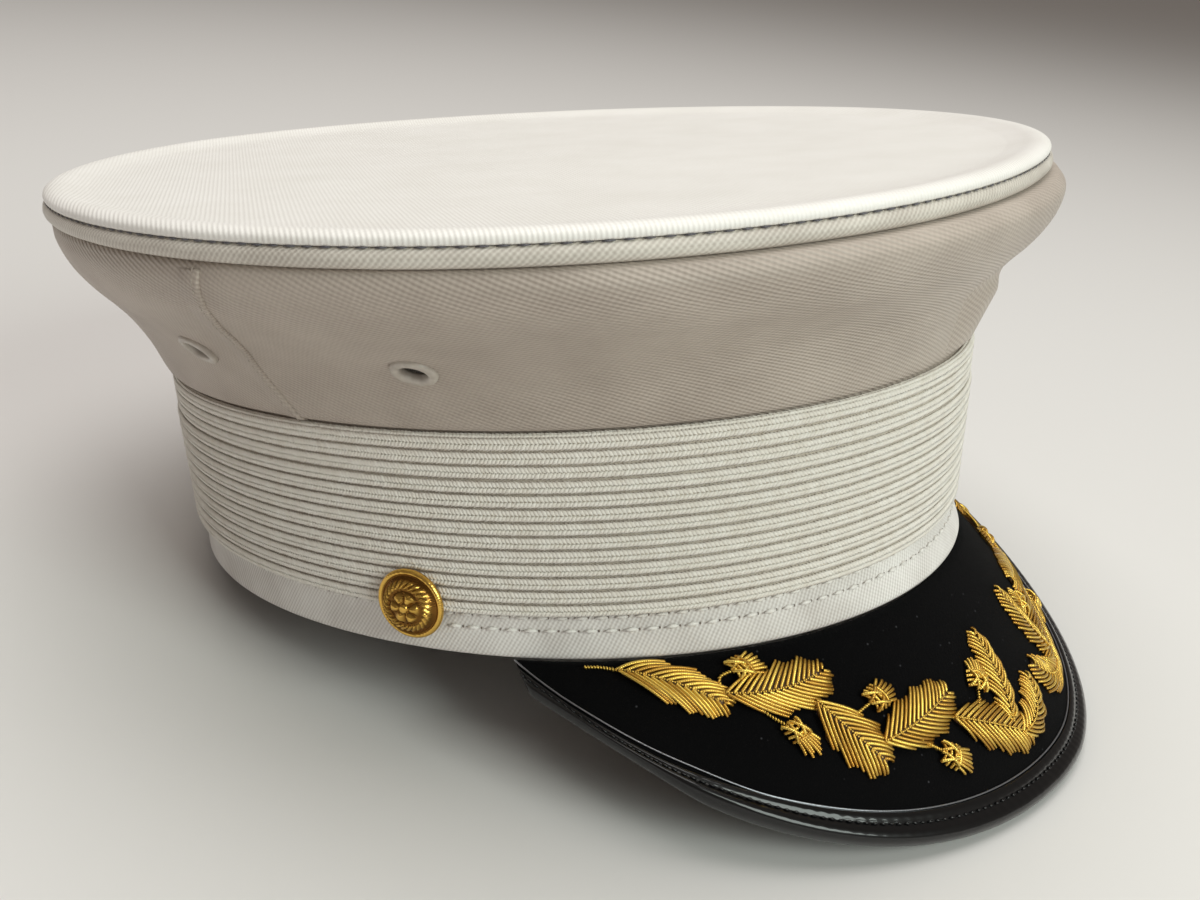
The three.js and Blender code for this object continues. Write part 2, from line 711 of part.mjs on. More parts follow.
// Padded strip over flat points, each with its half-width
function flatStrip(points, halfWidths, edgeHeight, ribHeight) {
  const profileFor = (half) => [
    [-half, edgeHeight],
    [0, ribHeight],
    [half, edgeHeight],
    [half, EMBROIDERY_LIFT],
    [-half, EMBROIDERY_LIFT],
  ];
  const stations = points.map((point, i) => {
    const before = points[Math.max(0, i - 1)];
    const after = points[Math.min(points.length - 1, i + 1)];
    const along = after.clone().sub(before).normalize();
    const right = new THREE.Vector2(along.y, -along.x);
    return profileFor(halfWidths[i]).map(([across, height]) => new THREE.Vector3(
      point.x + right.x * across, point.y + right.y * across, height));
  });
  const faces = profileFor(1).map(([across, height]) => new THREE.Vector2(across, height));
  return toSolid(cappedBar(stations, faces));
}

function flatPoint([s, c]) {
  return new THREE.Vector2(s, -c);
}

function leafSolid(leaf) {
  const base = flatPoint(leaf.base);
  const tip = flatPoint(leaf.tip);
  const pull = flatPoint(leaf.middle).multiplyScalar(2).addScaledVector(base.clone().add(tip), -0.5);
  const curve = new THREE.QuadraticBezierCurve(base, pull, tip);
  const points = curve.getPoints(LEAF_LOBES.length - 1);
  const halfWidths = LEAF_LOBES.map((lobe) => lobe * leaf.halfWidth);
  return flatStrip(points, halfWidths, LEAF_EDGE_HEIGHT, LEAF_RIB_HEIGHT);
}

function twigSolid(path) {
  const points = path.map(flatPoint);
  return flatStrip(points, points.map(() => TWIG_HALF_WIDTH), TWIG_HEIGHT - 0.3, TWIG_HEIGHT);
}

function acornSolid(acorn) {
  const geometry = BufferGeometryUtils.mergeVertices(bareSphere(), 1e-4);
  geometry.rotateX(Math.PI / 2);
  geometry.scale(ACORN_HALF_LENGTH, ACORN_HALF_WIDTH, ACORN_HALF_HEIGHT);
  const towards = flatPoint(acorn.towards);
  geometry.rotateZ(Math.atan2(towards.y, towards.x));
  const centre = flatPoint(acorn.centre);
  geometry.translate(centre.x, centre.y, EMBROIDERY_LIFT + ACORN_HALF_HEIGHT);
  return toSolid(geometry);
}

function bareSphere() {
  const rows = [
    { r: 0.75, h: -0.66 },
    { r: 1, h: 0 },
    { r: 0.75, h: 0.66 },
  ];
  const seat = { point: new THREE.Vector3(), axis: new THREE.Vector3(0, 0, 1) };
  return poledSolid(onAxis(seat, -1), turnedRings(rows, seat, ACORN_STEPS), onAxis(seat, 1));
}

// Lays a flat solid on the peak's upper face
function laidOnPeak(flat) {
  return flat.warp((vertex) => {
    const [s, minusC, height] = vertex;
    const angle = peakAngleAt(s);
    const share = -minusC / peakWidth(angle);
    const point = peakPoint(angle, share).addScaledVector(peakNormal(angle, share), height);
    vertex[0] = point.x;
    vertex[1] = point.y;
    vertex[2] = point.z;
  });
}

function oakSprays() {
  const parts = [...LEAVES.map(leafSolid), ...TWIGS.map(twigSolid), ...ACORNS.map(acornSolid)];
  const right = laidOnPeak(wasm.Manifold.union(parts));
  return [
    named('oak_spray_right', fromSolid(right), COLOURS.bullion),
    named('oak_spray_left', fromSolid(right.mirror([1, 0, 0])), COLOURS.bullion),
  ];
}

// Button from its back to the top of its dome, with a raised rim, a ring and a middle boss
const BUTTON_PROFILE = [
  { r: 6.9, h: 0 },
  { r: BUTTON_RADIUS, h: 0.5 },
  { r: BUTTON_RADIUS, h: 1.1 },
  { r: 7.3, h: 1.5 },
  { r: 6.7, h: 1.3 },
  { r: 5.9, h: 2.3 },
  { r: 4.9, h: 2.8 },
  { r: 4.3, h: 2.6 },
  { r: 2.6, h: 3.2 },
  { r: 1.9, h: 3.9 },
];
const BUTTON_BACK_OFFSET = GAP + BRAID_BASE + BRAID_RIB_HEIGHT + GAP;
const BUTTON_ANGLE = THREE.MathUtils.degToRad(7.5);
const BUTTON_HEIGHT = 11.9;
const BUTTON_BOSS_TOP = 4.1;

function button(name, angle) {
  const level = (height) => shifted(bandAt(height), BUTTON_BACK_OFFSET, 0);
  const seat = seatOn(level, angle, BUTTON_HEIGHT, 1);
  const rings = turnedRings(BUTTON_PROFILE, seat, BUTTON_STEPS);
  return named(name, poledSolid(onAxis(seat, 0), rings, onAxis(seat, BUTTON_BOSS_TOP)), COLOURS.gilt);
}

const cap = new THREE.Group();
const body = bandBody();
const binding = peakBinding();
cap.add(
  body,
  bandBraid(),
  crownSide(),
  crownPiping(),
  crownTop(),
  frontStay(),
  ...VENTS.map(eyelet),
  peakBoard(),
  binding,
  ...oakSprays(),
  button('button_right', Math.PI + BUTTON_ANGLE),
  button('button_left', -BUTTON_ANGLE),
);

// Rest pose: the cap tips back until the band's rear and the peak's rim both touch the floor
function lowestWhenTipped(mesh, tilt) {
  const { position } = mesh.geometry.attributes;
  let lowest = Infinity;
  for (let i = 0; i < position.count; i += 1) {
    const height = position.getZ(i) * Math.cos(tilt) - position.getY(i) * Math.sin(tilt);
    lowest = Math.min(lowest, height);
  }
  return lowest;
}

function restTilt() {
  let low = 0;
  let high = THREE.MathUtils.degToRad(30);
  for (let round = 0; round < 40; round += 1) {
    const tilt = (low + high) / 2;
    if (lowestWhenTipped(binding, tilt) < lowestWhenTipped(body, tilt)) {
      low = tilt;
    } else {
      high = tilt;
    }
  }
  return (low + high) / 2;
}

cap.rotation.x = -restTilt();
cap.updateMatrixWorld(true);
const extent = new THREE.Box3().setFromObject(cap, true);
cap.position.set(
  -(extent.min.x + extent.max.x) / 2, -(extent.min.y + extent.max.y) / 2, -extent.min.z);

export default cap;
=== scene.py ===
"""White bell-crown peaked cap: ribbed mohair braid, gilt side buttons, and a black felt peak
edged in patent leather and embroidered with gold oak leaves.

Sizes are worked out in millimetres in the band's own frame: the band's lower edge lies in
z = 0, the front faces -Y and the wearer's right is -X. Every piece is then laid where the
cap rests on the floor, in metres.
"""

import json
import math
from typing import NamedTuple

import bmesh
import bpy
import numpy as np
from bpy.props import FloatProperty, FloatVectorProperty, IntProperty, PointerProperty
from mathutils import Matrix, Vector


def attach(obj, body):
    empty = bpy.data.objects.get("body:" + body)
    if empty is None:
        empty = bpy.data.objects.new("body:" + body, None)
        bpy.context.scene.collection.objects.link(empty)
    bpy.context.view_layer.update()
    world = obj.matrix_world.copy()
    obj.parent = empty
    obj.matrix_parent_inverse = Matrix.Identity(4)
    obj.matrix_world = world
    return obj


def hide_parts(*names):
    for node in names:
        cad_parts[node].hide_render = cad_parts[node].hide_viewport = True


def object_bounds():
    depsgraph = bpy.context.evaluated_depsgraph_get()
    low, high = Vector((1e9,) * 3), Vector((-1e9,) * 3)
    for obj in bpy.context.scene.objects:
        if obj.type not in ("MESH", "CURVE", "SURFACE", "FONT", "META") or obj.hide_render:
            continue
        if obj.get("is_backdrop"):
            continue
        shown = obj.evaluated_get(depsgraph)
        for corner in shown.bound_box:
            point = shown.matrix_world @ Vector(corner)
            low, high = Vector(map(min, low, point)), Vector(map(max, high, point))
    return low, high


bl_info = {
    "name": "Peaked cap",
    "version": (1, 0, 0),
    "blender": (4, 5, 0),
    "location": "View3D > Sidebar > Peaked Cap",
    "description": "Builds a white bell-crown peaked cap with a gold-embroidered peak",
    "category": "Add Mesh",
}

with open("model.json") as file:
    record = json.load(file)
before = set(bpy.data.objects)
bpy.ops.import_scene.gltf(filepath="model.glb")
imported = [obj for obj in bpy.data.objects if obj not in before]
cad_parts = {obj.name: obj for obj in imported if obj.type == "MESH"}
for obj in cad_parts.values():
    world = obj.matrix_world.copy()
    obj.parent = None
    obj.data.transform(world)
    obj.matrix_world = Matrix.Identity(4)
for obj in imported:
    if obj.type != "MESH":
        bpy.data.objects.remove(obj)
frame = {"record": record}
CAD_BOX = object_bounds()

MM = 0.001
HALF_TURN = math.pi
FULL_TURN = 2 * math.pi
PHOTO_WIDTH_PX = 1200
SENSOR_WIDTH_MM = 36.0


def linear(hex_colour):
    """An sRGB hex colour as linear red, green, blue and full alpha."""
    parts = [int(hex_colour[i:i + 2], 16) / 255 for i in (1, 3, 5)]
    return [p / 12.92 if p <= 0.04045 else ((p + 0.055) / 1.055) ** 2.4 for p in parts] + [1.0]


# The cap's shape, as the CAD model has it

class Section(NamedTuple):
    """One level of the cap as seen from above, in millimetres."""

    half_width: float
    front_reach: float
    rear_reach: float
    widest_y: float
    height: float
    rise_to_front: float
    front_lift: float
    front_squareness: float
    rear_squareness: float

    def shifted(self, outwards, upwards=0.0):
        return self._replace(
            half_width=self.half_width + outwards,
            front_reach=self.front_reach + outwards,
            rear_reach=self.rear_reach + outwards,
            height=self.height + upwards,
        )

    def points(self, angles):
        """Points at these angles; 0 is the wearer's left and a quarter turn is the rear."""
        at_front = np.sin(angles) < 0
        power = 2 / np.where(at_front, self.front_squareness, self.rear_squareness)
        across = signed_power(np.cos(angles), power)
        along = signed_power(np.sin(angles), power)
        end = np.where(at_front, -self.front_reach, self.rear_reach)
        y = self.widest_y + (end - self.widest_y) * np.abs(along)
        z = self.height - self.rise_to_front * y + self.front_lift * np.maximum(0, -along) ** 3
        return np.stack([self.half_width * across, y, z], axis=-1)


def signed_power(value, exponent):
    return np.sign(value) * np.abs(value) ** exponent


def between(lower, upper, rise, sides, front=None, rear=None):
    """A section between two others: rise sets its height, the rest how far it has spread."""
    front = sides if front is None else front
    rear = sides if rear is None else rear
    shares = Section(sides, front, rear, sides, rise, rise, rise, sides, sides)
    return Section(*(low + (high - low) * share
                     for low, high, share in zip(lower, upper, shares)))


BAND_LOWER_EDGE = Section(87.8, 105.0, 105.0, 0.0, 0.0, 0.0, 0.8, 2.05, 2.05)
BAND_TOP_EDGE = Section(86.3, 105.0, 107.0, 0.0, 47.0, 0.02, 0.0, 2.05, 2.05)
PIPING_LINE = Section(122.0, 119.0, 123.5, -9.0, 92.6, -0.02, 0.0, 2.14, 1.88)
CROWN_FOOT = BAND_TOP_EDGE.shifted(-0.1, 0.3)
BAND_WALL = 2.0
CROWN_WALL = 2.2
STRIP_HEIGHT = 10.0
STRIP_FLARE_FRONT = 3.4
STRIP_FLARE_SIDES = 0.6
BRAID_TOP_OVERLAP = 1.8
ROLL_HEIGHT = 3.2
TOP_SAG = 1.2
TOP_THICKNESS = 2.4

# Outline of the crown's wall: rise, and spread at the sides, the front and the rear
CROWN_PROFILE = np.array([
    (0.00, 0.00, 0.00, 0.00),
    (0.05, 0.00, 0.00, 0.00),
    (0.08, 0.06, 0.04, 0.25),
    (0.26, 0.20, 0.22, 0.42),
    (0.42, 0.38, 0.42, 0.58),
    (0.54, 0.57, 0.72, 0.70),
    (0.65, 0.77, 1.06, 0.80),
    (0.76, 0.93, 1.28, 0.90),
    (0.87, 1.02, 1.36, 0.98),
    (0.94, 1.02, 1.24, 1.02),
])

PEAK_HALF_WIDTH = 93.0
PEAK_REACH = 84.5
PEAK_CENTRE = (-61.2, -7.6)
PEAK_SLOPE = math.radians(25.8)
PEAK_DROOP = 3.4
PEAK_SQUARENESS = 1.8
PEAK_CORNER = math.radians(76)
PEAK_BLEND_START = math.radians(70)
PEAK_END = math.radians(84)
PEAK_CROWNING = 1.5
PEAK_THICKNESS = 2.4
PEAK_SLIMMING = 0.72
PEAK_SLIM_START = math.radians(60)

# The cap rests tilted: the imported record's flat on the crown's top gives the turn and place
TOP_SLOPE = math.atan(0.02)
TOP_MIDDLE = np.array([0.0, 2.25, 94.645])


def rest_matrix():
    """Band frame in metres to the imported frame."""
    mount = frame["record"]["mounts"][0]
    _, toward_rear, upward = mount["axis"]
    turn = Matrix.Rotation(-(math.atan2(toward_rear, upward) + TOP_SLOPE), 4, "X")
    place = Vector(mount["pos_m"]) - turn @ Vector(TOP_MIDDLE * MM)
    return Matrix.Translation(place) @ turn


REST = rest_matrix()
REST_ARRAY = np.array(REST)


def at_rest(points):
    """Points in the band frame, in millimetres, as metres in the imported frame."""
    return np.asarray(points) * MM @ REST_ARRAY[:3, :3].T + REST_ARRAY[:3, 3]


def turned_to_rest(directions):
    return np.asarray(directions) @ REST_ARRAY[:3, :3].T


def ring(columns):
    """Angles round the cap, from the wearer's left through the rear."""
    return np.linspace(0, FULL_TURN, columns, endpoint=False)


def smooth_rows(table, per_step):
    """Rows of a table joined by smooth curves through them."""
    padded = np.vstack([2 * table[0] - table[1], table, 2 * table[-1] - table[-2]])
    rows = []
    for a, b, c, d in zip(padded, padded[1:], padded[2:], padded[3:]):
        for step in range(per_step):
            t = step / per_step
            rows.append(0.5 * (2 * b + (c - a) * t + (2 * a - 5 * b + 4 * c - d) * t ** 2
                               + (3 * b - a - 3 * c + d) * t ** 3))
    rows.append(table[-1])
    return np.array(rows)


def crown_row(row):
    return between(CROWN_FOOT, PIPING_LINE, *row)


def crown_wall_at(rise, smooth=smooth_rows(CROWN_PROFILE, 8)):
    """The crown wall's section at a share of its rise."""
    return crown_row([np.interp(rise, smooth[:, 0], smooth[:, k]) for k in range(4)])


def band_waist():
    """Narrowest level of the band, where the flared strip meets the braid."""
    share = STRIP_HEIGHT / BAND_TOP_EDGE.height
    even = between(BAND_LOWER_EDGE, BAND_TOP_EDGE, share, share)
    return even._replace(
        half_width=even.half_width - STRIP_FLARE_SIDES,
        front_reach=even.front_reach - STRIP_FLARE_FRONT,
        rear_reach=even.rear_reach - STRIP_FLARE_SIDES,
    )


BAND_WAIST = band_waist()


def band_at(height):
    """The band's outer face at a height above its lower edge."""
    if height < STRIP_HEIGHT:
        share = height / STRIP_HEIGHT
        return between(BAND_LOWER_EDGE, BAND_WAIST, share, share)
    share = (height - STRIP_HEIGHT) / (BAND_TOP_EDGE.height - STRIP_HEIGHT)
    return between(BAND_WAIST, BAND_TOP_EDGE, share, share)


def smoothstep(value, low, high):
    share = np.clip((value - low) / (high - low), 0, 1)
    return share * share * (3 - 2 * share)


def band_edge_point(angles, inset):
    """The peak's inner edge; angle 0 is the middle of the front."""
    return BAND_LOWER_EDGE.shifted(-inset, -0.4).points(angles - HALF_TURN / 2)


def rim_point(angles):
    corner = band_edge_point(np.sign(angles) * PEAK_CORNER, 0)
    across = PEAK_HALF_WIDTH * signed_power(np.sin(angles), 2 / PEAK_SQUARENESS)
    reach = PEAK_REACH * signed_power(np.cos(angles), 2 / PEAK_SQUARENESS)
    droop = PEAK_DROOP * np.sin(2 * angles) ** 2
    point = np.stack([
        across,
        PEAK_CENTRE[0] - reach * math.cos(PEAK_SLOPE),
        PEAK_CENTRE[1] - reach * math.sin(PEAK_SLOPE) - droop,
    ], axis=-1)
    share = smoothstep(np.abs(angles), PEAK_BLEND_START, HALF_TURN / 2)[..., None] ** 2
    return point + (corner - point) * share


def peak_point(angles, shares):
    """The peak's upper face: share 0 is at the band and 1 at the rim."""
    inner = band_edge_point(angles / (HALF_TURN / 2) * PEAK_CORNER, 0.4)
    ruling = rim_point(angles) - inner
    fullness = np.clip((np.linalg.norm(ruling, axis=-1) - 20) / 25, 0, 1)
    point = inner + ruling * np.asarray(shares)[..., None]
    point[..., 2] += PEAK_CROWNING * np.sin(HALF_TURN * np.asarray(shares)) * fullness
    return point


def peak_normal(angles, shares):
    step = 1e-3
    along = peak_point(angles + step, shares) - peak_point(angles - step, shares)
    across = peak_point(angles, shares + step) - peak_point(angles, shares - step)
    normal = np.cross(across, along)
    return normal / np.linalg.norm(normal, axis=-1, keepdims=True)


def inner_normal(angles, shares):
    """The way up from the peak's face, read a little inside its edges."""
    return peak_normal(angles, np.clip(shares, 0.05, 0.95))


def slimming(angles):
    """Share of its full thickness that the peak keeps towards its corners."""
    return 1 - PEAK_SLIMMING * smoothstep(np.abs(angles), PEAK_SLIM_START, PEAK_END)


def peak_width(angles):
    ends = peak_point(angles, np.ones_like(angles)) - peak_point(angles, np.zeros_like(angles))
    return np.linalg.norm(ends, axis=-1)


def on_peak(angles, inwards, up):
    """Points at a distance inwards from the rim and up from the peak's upper face."""
    shares = 1 - inwards / peak_width(angles)
    normal = inner_normal(angles, shares)
    return peak_point(angles, shares) + normal * np.asarray(up)[..., None]


def arc_lengths(points):
    steps = np.linalg.norm(np.diff(points, axis=0), axis=-1)
    return np.concatenate([[0], np.cumsum(steps)])


def evenly_spaced(points, spacing, start=0.0):
    """Points along a path at an even spacing."""
    lengths = arc_lengths(points)
    marks = np.linspace(start, lengths[-1], max(2, round((lengths[-1] - start) / spacing) + 1))
    return np.stack([np.interp(marks, lengths, points[:, k]) for k in range(3)], axis=-1)


def linked(data, name=None):
    """An object in the scene, named like its data unless it has a name of its own."""
    made = bpy.data.objects.new(name or data.name, data)
    bpy.context.scene.collection.objects.link(made)
    return made


def new_piece(mesh, material, node=None):
    """Finishes a piece: its object at the origin, riding on the cap, with its CAD node hidden."""
    mesh.materials.append(material)
    mesh.shade_smooth()
    return placed_piece(linked(mesh), node)


def placed_piece(piece, node=None):
    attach(piece, "root")
    if node:
        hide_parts(node)
    return piece


def applied(piece):
    """Turns a piece's modifiers into its plain mesh."""
    seed = piece.data
    result = piece.evaluated_get(bpy.context.evaluated_depsgraph_get())
    plain = bpy.data.meshes.new_from_object(result)
    plain.name = piece.name
    piece.modifiers.clear()
    piece.data = plain
    bpy.data.meshes.remove(seed)
    return plain


def shell(name, grid, uv, *, rows_meet=False, poles=(), capped=False):
    """A closed mesh over a grid of points in millimetres, with its UV map in metres. Its columns
    meet; its ends meet too, close in a pole each, or are capped."""
    rows, columns = grid.shape[:2]
    points = [*grid.reshape(-1, 3), *poles]
    faces = []
    corners = []
    for i in range(rows if rows_meet else rows - 1):
        for j in range(columns):
            k = (j + 1) % columns
            a, b = i * columns, (i + 1) % rows * columns
            faces.append((a + j, a + k, b + k, b + j))
            corners.extend((uv[i, j], uv[i, j + 1], uv[i + 1, j + 1], uv[i + 1, j]))
    for row, pole in zip((0, rows - 1), range(len(poles))):
        tip = rows * columns + pole
        for j in range(columns):
            faces.append((row * columns + j, row * columns + (j + 1) % columns, tip))
            corners.extend((uv[row, j], uv[row, j + 1], uv[row].mean(axis=0)))
    if capped:
        for start in (0, (rows - 1) * columns):
            faces.append(tuple(range(start, start + columns)))
            corners.extend(uv[0, :columns])
    return closed_mesh(name, np.array(points), faces, corners)


def closed_mesh(name, points, faces, corners=None):
    """A mesh from points in millimetres, merged, with its faces turned outwards."""
    mesh = bpy.data.meshes.new(name)
    mesh.from_pydata(at_rest(points).tolist(), [], faces)
    if corners is not None:
        layer = mesh.uv_layers.new(name="UVMap")
        layer.data.foreach_set("uv", np.asarray(corners, dtype=np.float32).ravel())
    work = bmesh.new()
    work.from_mesh(mesh)
    bmesh.ops.remove_doubles(work, verts=work.verts, dist=1e-7)
    bmesh.ops.recalc_face_normals(work, faces=work.faces)
    work.to_mesh(mesh)
    work.free()
    return mesh


def metre_uv(rows, columns, across, down):
    """UV grid in metres from the lengths along two directions, in millimetres."""
    u = np.broadcast_to(np.asarray(across)[None, :columns], (rows, columns))
    v = np.broadcast_to(np.asarray(down)[:rows, None], (rows, columns))
    return np.stack([u, v], axis=-1) * MM


def round_uv(grid, rows_meet=False):
    """UV grid for a ring of points: round the cap, and along its cross-section."""
    middle = grid[len(grid) // 4]
    across = arc_lengths(np.vstack([middle, middle[:1]]))
    column = grid[:, 0]
    down = arc_lengths(np.vstack([column, column[:1]]) if rows_meet else column)
    return metre_uv(len(down), len(across), across, down)


def ring_grid(sections, columns):
    angles = ring(columns)
    return np.array([section.points(angles) for section in sections])


def ring_mesh(name, grid):
    """A closed ring whose cross-section's rows meet, with its UV map."""
    return shell(name, grid, round_uv(grid, rows_meet=True), rows_meet=True)


def bar_mesh(name, rows, side, uv_order=1):
    """A closed bar with capped ends, from the lines along it that make its cross-section; its
    length is read on one of them. A UV order of -1 swaps the map's two directions."""
    grid = np.array(rows).transpose(1, 0, 2)
    middle = grid[len(grid) // 2]
    down = arc_lengths(np.vstack([middle, middle[:1]]))
    uv = metre_uv(len(grid), len(down), down, arc_lengths(grid[:, side]))
    return shell(name, grid, uv[..., ::uv_order], capped=True)


def add_node(tree, kind, inputs=None, **settings):
    """Adds a node with its settings, and sets or links its inputs."""
    made = tree.nodes.new(kind)
    for key, value in settings.items():
        setattr(made, key, value)
    for key, value in (inputs or {}).items():
        sockets = [s for s in made.inputs if s.identifier == key]
        socket = sockets[0] if sockets else made.inputs[key]
        if isinstance(value, bpy.types.NodeSocket):
            tree.links.new(value, socket)
        else:
            socket.default_value = value
    return made


class Surface:
    """A material being built, with the nodes that most surfaces need."""

    def __init__(self, name, colour, **values):
        self.material = bpy.data.materials.new(name)
        self.material.use_nodes = True
        self.tree = self.material.node_tree
        self.shader = self.tree.nodes["Principled BSDF"]
        self.shader.inputs["Base Color"].default_value = colour
        for key, value in values.items():
            label = key.replace("_", " ").title().replace("Ior", "IOR")
            self.shader.inputs[label].default_value = value

    def place(self, coordinates="Object"):
        return add_node(self.tree, "ShaderNodeTexCoord").outputs[coordinates]

    def attribute(self, name):
        return add_node(self.tree, "ShaderNodeAttribute", attribute_name=name).outputs["Fac"]

    def noise(self, place, size_mm, **inputs):
        """Cloudy noise whose largest spots are about this size."""
        return add_node(self.tree, "ShaderNodeTexNoise", {
            "Vector": place, "Scale": 1 / (size_mm * MM), **inputs}).outputs["Fac"]

    def computed(self, operation, *values):
        inputs = dict(zip(("Value", "Value_001", "Value_002"), values))
        return add_node(self.tree, "ShaderNodeMath", inputs, operation=operation).outputs[0]

    def paint(self, share, first, second):
        """Colours the surface between two colours by a share from 0 to 1."""
        mix = add_node(self.tree, "ShaderNodeMix", {
            "Factor_Float": share, "A_Color": first, "B_Color": second},
            data_type="RGBA", clamp_factor=True)
        self.tree.links.new(mix.outputs[2], self.shader.inputs["Base Color"])

    def emboss(self, height, depth_mm, strength, layers=("Normal",)):
        """Raises these layers of the surface by a height, for the light only."""
        bump = add_node(self.tree, "ShaderNodeBump", {
            "Height": height, "Distance": depth_mm * MM, "Strength": strength})
        for layer in layers:
            self.tree.links.new(bump.outputs["Normal"], self.shader.inputs[layer])


def waves(pitch_mm):
    """Scale of a wave texture whose bands repeat at a real distance, read in metres."""
    return FULL_TURN / 20 / (pitch_mm * MM)


# How much of a weave's relief its warp and its weft make
WARP_RELIEF = 0.72
WEFT_RELIEF = 0.28
# Sizes in millimetres of the marks that the eye sees on each surface
HANDLING_MARKS = 22
YARN_TONES = 3.0
YARN_HAIRS = 0.35
LINT_SPACING = 3.6
FELT_NAP = 0.5
LACQUER_RIPPLES = 7.0
BULLION_TURNS = 0.45
GILT_LINES = 0.5
GILT_WEAR = 1.5
ENAMEL_RUBS = 2.5
THREAD_TWIST = 0.4


def coated_cloth(name, colour, shade, *, pitch, turn, depth, roughness):
    """Cotton cloth with a white wipe-clean coating: the weave shows as a fine relief under a soft
    satin gloss.
    Painted shade makes it a little warmer and darker in the grooves, and faint handling marks vary
    its tone."""
    cloth = Surface(name, colour, roughness=roughness, specular_ior_level=0.35, sheen_weight=0.08)
    uv = cloth.place("UV")
    ribs = []
    for angle in (turn, turn + HALF_TURN / 2):
        turned = add_node(cloth.tree, "ShaderNodeMapping", {
            "Vector": uv, "Rotation": (0, 0, angle)})
        ribs.append(add_node(cloth.tree, "ShaderNodeTexWave", {
            "Vector": turned.outputs["Vector"], "Scale": waves(pitch), "Distortion": 0.8,
            "Detail": 1.0, "Detail Scale": 0.6}).outputs["Fac"])
    weft = cloth.computed("MULTIPLY", ribs[1], WEFT_RELIEF)
    weave = cloth.computed("MULTIPLY_ADD", ribs[0], WARP_RELIEF, weft)
    marks = cloth.noise(uv, HANDLING_MARKS, Detail=4.0, Roughness=0.55)
    # Painted shade: the weave's grooves are mixed towards the shade colour; the noise adds the
    # handling marks.
    cloth.paint(cloth.computed("MULTIPLY_ADD", weave, -0.45, marks), colour, shade)
    cloth.emboss(weave, depth, 0.9)
    return cloth.material


def mohair_braid(name, colour, shade):
    """Knitted mohair and cotton braid: matt, a little hairy at the edges, with each chain
    slightly different in tone."""
    yarn = Surface(name, colour, roughness=0.85, specular_ior_level=0.25, sheen_weight=0.35,
                   sheen_roughness=0.5)
    place = yarn.place()
    yarn.paint(yarn.noise(place, YARN_TONES, Detail=3.0, Roughness=0.7), colour, shade)
    yarn.emboss(yarn.noise(place, YARN_HAIRS, Detail=2.0), 0.15, 0.6)
    return yarn.material


def wool_felt(name, colour, lint):
    """Milled wool felt: a deep matt black with a soft nap and a few pale specks of lint."""
    felt = Surface(name, colour, roughness=0.95, specular_ior_level=0.05, sheen_weight=0.02,
                   sheen_roughness=0.6)
    place = felt.place()
    specks = add_node(felt.tree, "ShaderNodeTexVoronoi", {
        "Vector": place, "Scale": 1 / (LINT_SPACING * MM), "Randomness": 1.0})
    near = add_node(felt.tree, "ShaderNodeMapRange", {
        "Value": specks.outputs["Distance"], "From Min": 0.035, "From Max": 0.085,
        "To Min": 0.8, "To Max": 0.0})
    felt.paint(near.outputs["Result"], colour, lint)
    felt.emboss(felt.noise(place, FELT_NAP, Detail=4.0, Roughness=0.7), 0.3, 0.8)
    return felt.material


def patent_leather(name, colour):
    """Leather under black lacquer: mirror gloss that ripples where it is stretched and sewn."""
    leather = Surface(name, colour, roughness=0.3, specular_ior_level=0.2, coat_weight=0.55,
                      coat_roughness=0.05)
    ripples = leather.noise(leather.place(), LACQUER_RIPPLES, Detail=2.0, Roughness=0.4)
    leather.emboss(ripples, 0.5, 0.35, layers=("Normal", "Coat Normal"))
    return leather.material


def bullion(name, bright, deep):
    """Gilt wire wound into a fine hollow thread: every thread glitters in steps where the turns
    catch the light, and goes brown between them.
    Each thread has a random tone, and is painted darker as shade where it lies low over the felt.
    The turns are about 0.2 mm apart and drawn wider, so that they show."""
    wire = Surface(name, bright, metallic=0.75, roughness=0.2)
    wire.paint(wire.attribute("tone_and_shade"), deep, bright)
    turn = wire.computed("MULTIPLY", wire.attribute("along"), FULL_TURN / BULLION_TURNS)
    wire.emboss(wire.computed("SINE", turn), 0.03, 0.6)
    return wire.material


def gilt_brass(name, bright, deep):
    """Struck brass with a gilt finish: bright on the raised relief, browner in the ground,
    which has fine lines cut across it."""
    brass = Surface(name, bright, metallic=1.0, roughness=0.24)
    brass.paint(brass.attribute("relief"), deep, bright)
    place = brass.place()
    lines = add_node(brass.tree, "ShaderNodeTexWave", {
        "Vector": place, "Scale": waves(GILT_LINES), "Distortion": 0.0}, bands_direction="Z")
    wear = brass.noise(place, GILT_WEAR, Detail=3.0)
    brass.emboss(brass.computed("MULTIPLY_ADD", lines.outputs["Fac"], 0.6, wear), 0.06, 0.5)
    return brass.material


def white_enamel(name, colour, worn):
    """Stove enamel on a pressed metal ring: smooth and satin, rubbed greyer in patches."""
    enamel = Surface(name, colour, roughness=0.4, coat_weight=0.3, coat_roughness=0.2)
    rubs = enamel.noise(enamel.place(), ENAMEL_RUBS, Detail=4.0)
    enamel.paint(rubs, colour, worn)
    enamel.emboss(rubs, 0.05, 0.4)
    return enamel.material


def sewing_thread(name, colour, shade, roughness=0.6, metallic=0.0):
    """Twisted thread: a soft gleam with finer, darker turns of the twist across it."""
    thread = Surface(name, colour, roughness=roughness, metallic=metallic)
    twist = thread.noise(thread.place(), THREAD_TWIST, Detail=2.0)
    thread.paint(twist, colour, shade)
    thread.emboss(twist, 0.1, 0.5)
    return thread.material


def tree_with_inputs(name, sockets):
    """A geometry node tree with named inputs; returns it with its input and output nodes."""
    tree = bpy.data.node_groups.new(name, "GeometryNodeTree")
    tree.interface.new_socket("Geometry", in_out="INPUT", socket_type="NodeSocketGeometry")
    for label, kind in sockets:
        tree.interface.new_socket(label, in_out="INPUT", socket_type=kind)
    tree.interface.new_socket("Geometry", in_out="OUTPUT", socket_type="NodeSocketGeometry")
    return tree, add_node(tree, "NodeGroupInput"), add_node(tree, "NodeGroupOutput")


